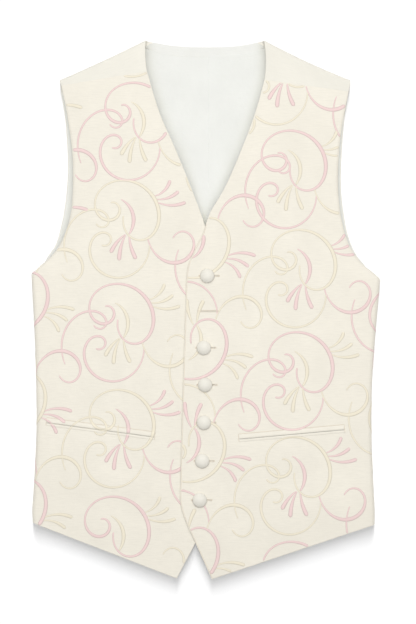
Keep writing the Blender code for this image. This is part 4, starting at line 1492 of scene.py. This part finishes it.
def panel_grid(guides, knots, run, columns, wall):
    """A grid over sections at the runs: each section, lengths along it, their share of its
    width, the plan, and how far in from the edge."""
    row = columns_at(run, knots, guides)
    span = row[:, 2:4] - row[:, 0:2]
    width = np.linalg.norm(span, axis=1)
    along = spread(width, columns, wall)
    share = along / width[:, None]
    plan = row[:, None, 0:2] + share[..., None] * span[:, None, :]
    ends = np.minimum(run, knots[-1] - run)[:, None]
    to_edge = np.minimum(np.minimum(along, width[:, None] - along), ends)
    return row, along, share, plan, to_edge


def add_back(side, finish):
    """One half of the back, from its hem over the shoulder to the front's shoulder seam."""
    guides, flat_count = back_guides(side)
    middles = np.column_stack([(guides[:, 0:2] + guides[:, 2:4]) / 2.0, guides[:, 4]])
    knots = run_along(middles)
    fold_at = knots[flat_count - 1]
    lower = spread(2.0 * fold_at, BACK_GRID[0], BACK_WALL)[0]
    upper = fold_at + spread(knots[-1] - fold_at, YOKE_ROWS, BACK_WALL)[0][ROUNDING_POINTS - 1 :]
    run = np.concatenate([lower[lower < fold_at], upper])
    grid = panel_grid(guides, knots, run, BACK_GRID[1], BACK_WALL)
    row, along, share, plan, to_edge = grid
    near_fold = smooth(1.0 - np.abs(run - fold_at) / SHOULDER_SAG_REACH)[:, None]
    plan[..., 1] -= SHOULDER_SAG[side] * near_fold * 4.0 * share * (1.0 - share)
    form = FORMS[side]
    seam = form.sections(np.zeros(1))[0]
    to_turn = np.linalg.norm(row[:, 2:4] - row[:, 0:2], axis=1)[:, None] - along
    seam_top = section_top(seam, middle_top(0.0, form.length), along, to_turn)
    blend = row[:, 5:6]
    z = row[:, 4:5] * (1.0 - blend) + seam_top * blend
    face = np.concatenate([plan, z[..., None]], axis=-1)
    normals = -grid_normals(face, (2, face.shape[1] // 2))
    flat = np.stack([row[:, 0:1] + side_sign(side) * along, run[:, None] + 0.0 * along], axis=-1)
    made = add_cloth(f"cloth_back_{side}", face, normals, BACK_WALL, to_edge, flat, finish)
    dress(made, "back_cloth", f"back_{side}")


def lining_height(x, y):
    """Height of the back lining: level, with its long waves, which sway a little sideways, and
    a soft swell towards the fronts where they meet."""
    middle_x, middle_y, half_width, half_length, rise = LINING_SWELL
    away = ((x - middle_x) / half_width) ** 2 + ((y - middle_y) / half_length) ** 2
    z = BACK_LINING_TOP + rise * np.exp(-away)
    for wave in LINING_WAVES:
        sway = wave.x + WAVE_SWAY * np.sin(y / WAVE_SWAY_LENGTH + wave.x)
        z = z + wave.rise * np.exp(-(((x - sway) / wave.half_width) ** 2))
    return z


def add_inner_panel(name, plan, z, wall, to_edge, finish):
    """A cloth inside the garment, with its face at the heights z over its own flat cut."""
    face = np.concatenate([plan, z[..., None]], axis=-1)
    normals = grid_normals(face, (len(face) // 2, face.shape[1] // 2))
    return add_cloth(name, face, normals, wall, to_edge, plan, finish)


def add_back_lining(side, finish):
    """A flat panel on the back with long low waves and, on the left half, a pressed strip."""
    below = FACING_WIDTH - FACING_LAP
    last_inner = fold_line(side, *LINING_END_INNER)
    last_outer = fold_line(side, *LINING_END_OUTER)
    held = BACK_NECK[side][-1].share

    def neck_edge(share):
        """Along the facing's lower edge, then straight to the fold."""
        beyond = np.clip((share - held) / (SHOULDER_EASE - held), 0.0, 1.0)[:, None]
        curve = facing_point(side, np.minimum(share, held), below)
        return curve + beyond * (last_inner - facing_point(side, held, below))

    guides = panel_guides(
        side, BACK_HEM_Y + BACK_LINING_HEM_RISE, NECK_LOW_Y - below, neck_edge, last_outer
    )
    to_top = last_outer[1] - guides[:, 3]
    tapered = np.clip((BACK_LINING_TAPER - to_top) / BACK_LINING_TAPER, 0.0, 1.0)
    guides[:, 2] -= side_sign(side) * BACK_LINING_INSET * (1.0 - tapered)
    knots = run_along((guides[:, 0:2] + guides[:, 2:4]) / 2.0)
    run = spread(knots[-1], BACK_LINING_GRID[0], LINING_WALL)[0]
    grid = panel_grid(guides, knots, run, BACK_LINING_GRID[1], LINING_WALL)
    _, along, _, plan, to_edge = grid
    z = lining_height(plan[..., 0], plan[..., 1])
    if side == "left":
        on_strip = smooth((CENTRE_STRIP_WIDTH - along) / CENTRE_STRIP_EDGE)
        z = z + CENTRE_STRIP_RISE * on_strip
    made = add_inner_panel(f"lining_back_{side}", plan, z, LINING_WALL, to_edge, finish)
    dress(made, "lining", f"back_lining_{side}")


def add_neck_facing(finish):
    """A band inside the back neck: the neck edge, and the same curve moved in square to it."""
    halves = {}
    for side in SIDES:
        held = BACK_NECK[side][-1].share
        share = np.linspace(0.0, held, NECK_GUIDES)
        edge, lower = neck_point(side, share), facing_point(side, share, FACING_WIDTH)
        last = (neck_point(side, FACING_END_SHARE), fold_line(side, *FACING_END))
        on = np.linspace(0.0, 1.0, FACING_END_GUIDES)[1:, None]
        edge = np.concatenate([edge, edge[-1] + on * (last[0] - edge[-1])])
        lower = np.concatenate([lower, lower[-1] + on * (last[1] - lower[-1])])
        halves[side] = np.column_stack([edge, lower])
    guides = np.concatenate([halves["right"][::-1], halves["left"][1:]])
    knots = run_along(guides[:, 0:2])
    run = spread(knots[-1], FACING_GRID[0], FACING_WALL)[0]
    _, _, _, plan, to_edge = panel_grid(guides, knots, run, FACING_GRID[1], FACING_WALL)
    z = lining_height(plan[..., 0], plan[..., 1]) + FACING_RISE
    made = add_inner_panel("neck_facing", plan, z, FACING_WALL, to_edge, finish)
    dress(made, "facing", "back_neck_facing")


class WAISTCOAT_OT_add_back(bpy.types.Operator):
    """Add the two back halves with their forward yokes"""

    bl_idname = "waistcoat.add_back"
    bl_label = "Add back"
    bl_options = {"REGISTER", "UNDO"}

    def execute(self, context):
        look = context.scene.waistcoat_look
        finish = woven_cloth("back_cloth", look.yoke_colour)
        for side in SIDES:
            add_back(side, finish)
        return {"FINISHED"}


class WAISTCOAT_OT_add_linings(bpy.types.Operator):
    """Add the linings of the back and the fronts, and the back neck facing"""

    bl_idname = "waistcoat.add_linings"
    bl_label = "Add linings"
    bl_options = {"REGISTER", "UNDO"}

    def execute(self, context):
        look = context.scene.waistcoat_look
        lining = woven_cloth("lining_cloth", look.lining_colour)
        facing = woven_cloth("facing_cloth", look.facing_colour)
        for side in SIDES:
            add_back_lining(side, lining)
            add_front_lining(side, lining)
        add_neck_facing(facing)
        return {"FINISHED"}


class WAISTCOAT_OT_add_fronts(bpy.types.Operator):
    """Add the two fronts with their embroidery, pocket bands and buttonholes"""

    bl_idname = "waistcoat.add_fronts"
    bl_label = "Add fronts"
    bl_options = {"REGISTER", "UNDO"}

    def execute(self, context):
        look = context.scene.waistcoat_look
        cloth = woven_cloth("front_cloth", look.front_colour)
        threads = {
            "pink": satin_thread("pink_thread", look.pink_colour),
            "gold": satin_thread("gold_thread", look.gold_colour),
        }
        # This thread's darker colour is partly painted shade: it stands in for the shade in the
        # slits, along the upper bands' seams and beside the lapped edge.
        stitching = satin_thread("stitch_and_shade_thread", look.stitch_and_shade_colour)
        scale, lift = look.thread_width, look.thread_lift / MM
        for side in SIDES:
            front, flat = add_front(side, cloth)
            trims = [add_jet(side, jet, cloth) for jet in JETS]
            trims.append(add_band_stitch_and_shade_lines(side, lift, stitching))
            for thread, finish in threads.items():
                trims.append(add_embroidery(side, thread, scale, lift, finish))
            if side == "left":
                trims.append(add_buttonholes(stitching))
                # The line down the lapped edge is painted shade, shaped as stitches.
                trims.append(add_edge_shadow_line(lift, stitching))
        return {"FINISHED"}


class WAISTCOAT_OT_add_buttons(bpy.types.Operator):
    """Add the six covered buttons on their thread shanks"""

    bl_idname = "waistcoat.add_buttons"
    bl_label = "Add buttons"
    bl_options = {"REGISTER", "UNDO"}

    def execute(self, context):
        look = context.scene.waistcoat_look
        finish = woven_cloth("button_cloth", look.button_colour)
        for number, button in enumerate(BUTTONS, start=1):
            add_button(number, button, finish)
        return {"FINISHED"}


class WAISTCOAT_OT_add_stage(bpy.types.Operator):
    """Add the floor, the soft studio light and the camera, round the pieces already made"""

    bl_idname = "waistcoat.add_stage"
    bl_label = "Add stage"
    bl_options = {"REGISTER", "UNDO"}

    def execute(self, context):
        look = context.scene.waistcoat_look
        outside = bpy.data.collections.new("outside")
        linings = bpy.data.collections.new("linings")
        backdrop = bpy.data.collections.new("backdrop")
        for made in context.scene.objects:
            if made.type == "MESH":
                inner = made.name.startswith(("lining_back", "neck_facing"))
                (linings if inner else outside).objects.link(made)
        backdrop.objects.link(add_floor(look.floor_colour))
        add_lights(context.scene, outside, linings, backdrop)
        add_camera(context.scene)
        context.scene.view_settings.view_transform = "Standard"
        return {"FINISHED"}


def add_floor(colour):
    """One level square under the garment."""
    material, _, shader = new_shader("floor_paper", colour, FLOOR_ROUGHNESS, 0.0)
    shader.inputs["Base Color"].default_value = (*colour, 1.0)
    half = FLOOR_SIZE / 2.0
    plan = np.array([(-half, -half), (half, -half), (half, half), (-half, half)])
    points = np.column_stack([plan, np.full(4, -FLOOR_DROP)])
    floor = add_mesh_object("floor", points, [(0, 1, 2, 3)], plan, material)
    return floor


def add_sun(name, level, spread_degrees, elevation, receivers, turn=0.0):
    """A distant soft light on some of the objects alone, as a backdrop has lights of its own.

    It shines at its elevation from the shoulders' side, or from that side turned to the left;
    level is what it adds on a level surface, where 1 shows a white one as white.
    """
    light = bpy.data.lights.new(name, "SUN")
    light.energy = level * math.pi / math.sin(math.radians(elevation))
    light.angle = math.radians(spread_degrees)
    lamp = bpy.data.objects.new(name, light)
    lamp.rotation_euler = (math.radians(elevation - QUARTER_TURN), 0.0, math.radians(turn))
    lamp.light_linking.receiver_collection = receivers
    bpy.context.scene.collection.objects.link(lamp)
    return light


def add_ceiling_light(receivers):
    """A wide round soft light over the shoulders, which falls off a little towards the hem."""
    light = bpy.data.lights.new("ceiling_light", "AREA")
    light.shape = "DISK"
    light.size = CEILING_WIDTH * MM
    light.energy = CEILING_POWER
    lamp = bpy.data.objects.new("ceiling_light", light)
    lamp.location = [place * MM for place in CEILING_PLACE]
    lamp.visible_camera = False
    lamp.light_linking.receiver_collection = receivers
    bpy.context.scene.collection.objects.link(lamp)


def add_lights(scene, outside, linings, backdrop):
    """A wide ceiling light and a shoulder light for the outer cloth. The lining, which shows in
    the neck and armholes, has a fill without shadows, a shoulder light and one from each side,
    which leave a soft shade along the fronts' edges. The floor has a lamp overhead and a row of
    lamps, low to high, behind the shoulders: they leave the hem's soft shadow."""
    world = bpy.data.worlds.new("studio")
    world.use_nodes = True
    background = world.node_tree.nodes["Background"]
    background.inputs["Color"].default_value = (1.0, 1.0, 1.0, 1.0)
    background.inputs["Strength"].default_value = WORLD_LEVEL
    scene.world = world
    add_ceiling_light(outside)
    from_shoulders = (SHOULDER_LEVEL, SHOULDER_SPREAD, SHOULDER_ELEVATION)
    from_side = (LINING_SIDE_LEVEL, LINING_SIDE_SPREAD, LINING_SIDE_ELEVATION)
    add_sun("shoulder_light", *from_shoulders, outside)
    shoulder = add_sun("lining_shoulder_light", *from_shoulders, linings)
    shoulder.color = LINING_SIDE_COLOUR
    for turn in (QUARTER_TURN, -QUARTER_TURN):
        side = add_sun("lining_side_light", *from_side, linings, turn)
        side.color = LINING_SIDE_COLOUR
    fill = add_sun("lining_fill", LINING_FILL_LEVEL, LINING_FILL_SPREAD, QUARTER_TURN, linings)
    fill.color = LINING_FILL_COLOUR
    fill.use_shadow = False
    add_sun("floor_light", FLOOR_LEVEL, FLOOR_SPREAD, QUARTER_TURN, backdrop)
    for number, elevation in enumerate(FLOOR_ROW_ELEVATIONS, start=1):
        name = f"floor_row_light_{number}"
        add_sun(name, FLOOR_ROW_LEVEL, FLOOR_ROW_SPREAD, elevation, backdrop)


def add_camera(scene):
    """Straight above the garment, with a long lens that takes in the view's width."""
    data = bpy.data.cameras.new("camera")
    data.sensor_fit = "HORIZONTAL"
    data.sensor_width = SENSOR_WIDTH
    data.lens = SENSOR_WIDTH * (CAMERA_HEIGHT - FRONT_TOP) / VIEW_WIDTH
    data.clip_end = VIEW_DEPTH * MM
    camera = bpy.data.objects.new("camera", data)
    camera.location = (CAMERA_CENTRE[0] * MM, CAMERA_CENTRE[1] * MM, CAMERA_HEIGHT * MM)
    scene.collection.objects.link(camera)
    scene.camera = camera


class WAISTCOAT_PT_panel(bpy.types.Panel):
    """Lists the waistcoat's sizes, colours and pieces"""

    bl_label = "Embroidered waistcoat"
    bl_idname = "WAISTCOAT_PT_panel"
    bl_space_type = "VIEW_3D"
    bl_region_type = "UI"
    bl_category = "Waistcoat"

    def draw(self, context):
        look = context.scene.waistcoat_look
        for name in WaistcoatLook.__annotations__:
            self.layout.prop(look, name)
        for step in STEPS:
            self.layout.operator(step.bl_idname)


STEPS = (
    WAISTCOAT_OT_add_back,
    WAISTCOAT_OT_add_linings,
    WAISTCOAT_OT_add_fronts,
    WAISTCOAT_OT_add_buttons,
    WAISTCOAT_OT_add_stage,
)
CLASSES = (WaistcoatLook, *STEPS, WAISTCOAT_PT_panel)


def register():
    """Adds the settings, the operators and the panel to Blender."""
    for made in CLASSES:
        bpy.utils.register_class(made)
    bpy.types.Scene.waistcoat_look = bpy.props.PointerProperty(type=WaistcoatLook)


def unregister():
    """Takes them out again."""
    del bpy.types.Scene.waistcoat_look
    for made in reversed(CLASSES):
        bpy.utils.unregister_class(made)


def main():
    """Builds the whole scene by the add-on's own operators."""
    register()
    bpy.ops.waistcoat.add_back()
    bpy.ops.waistcoat.add_linings()
    bpy.ops.waistcoat.add_fronts()
    bpy.ops.waistcoat.add_buttons()
    bpy.ops.waistcoat.add_stage()


if __name__ == "__main__":
    main()
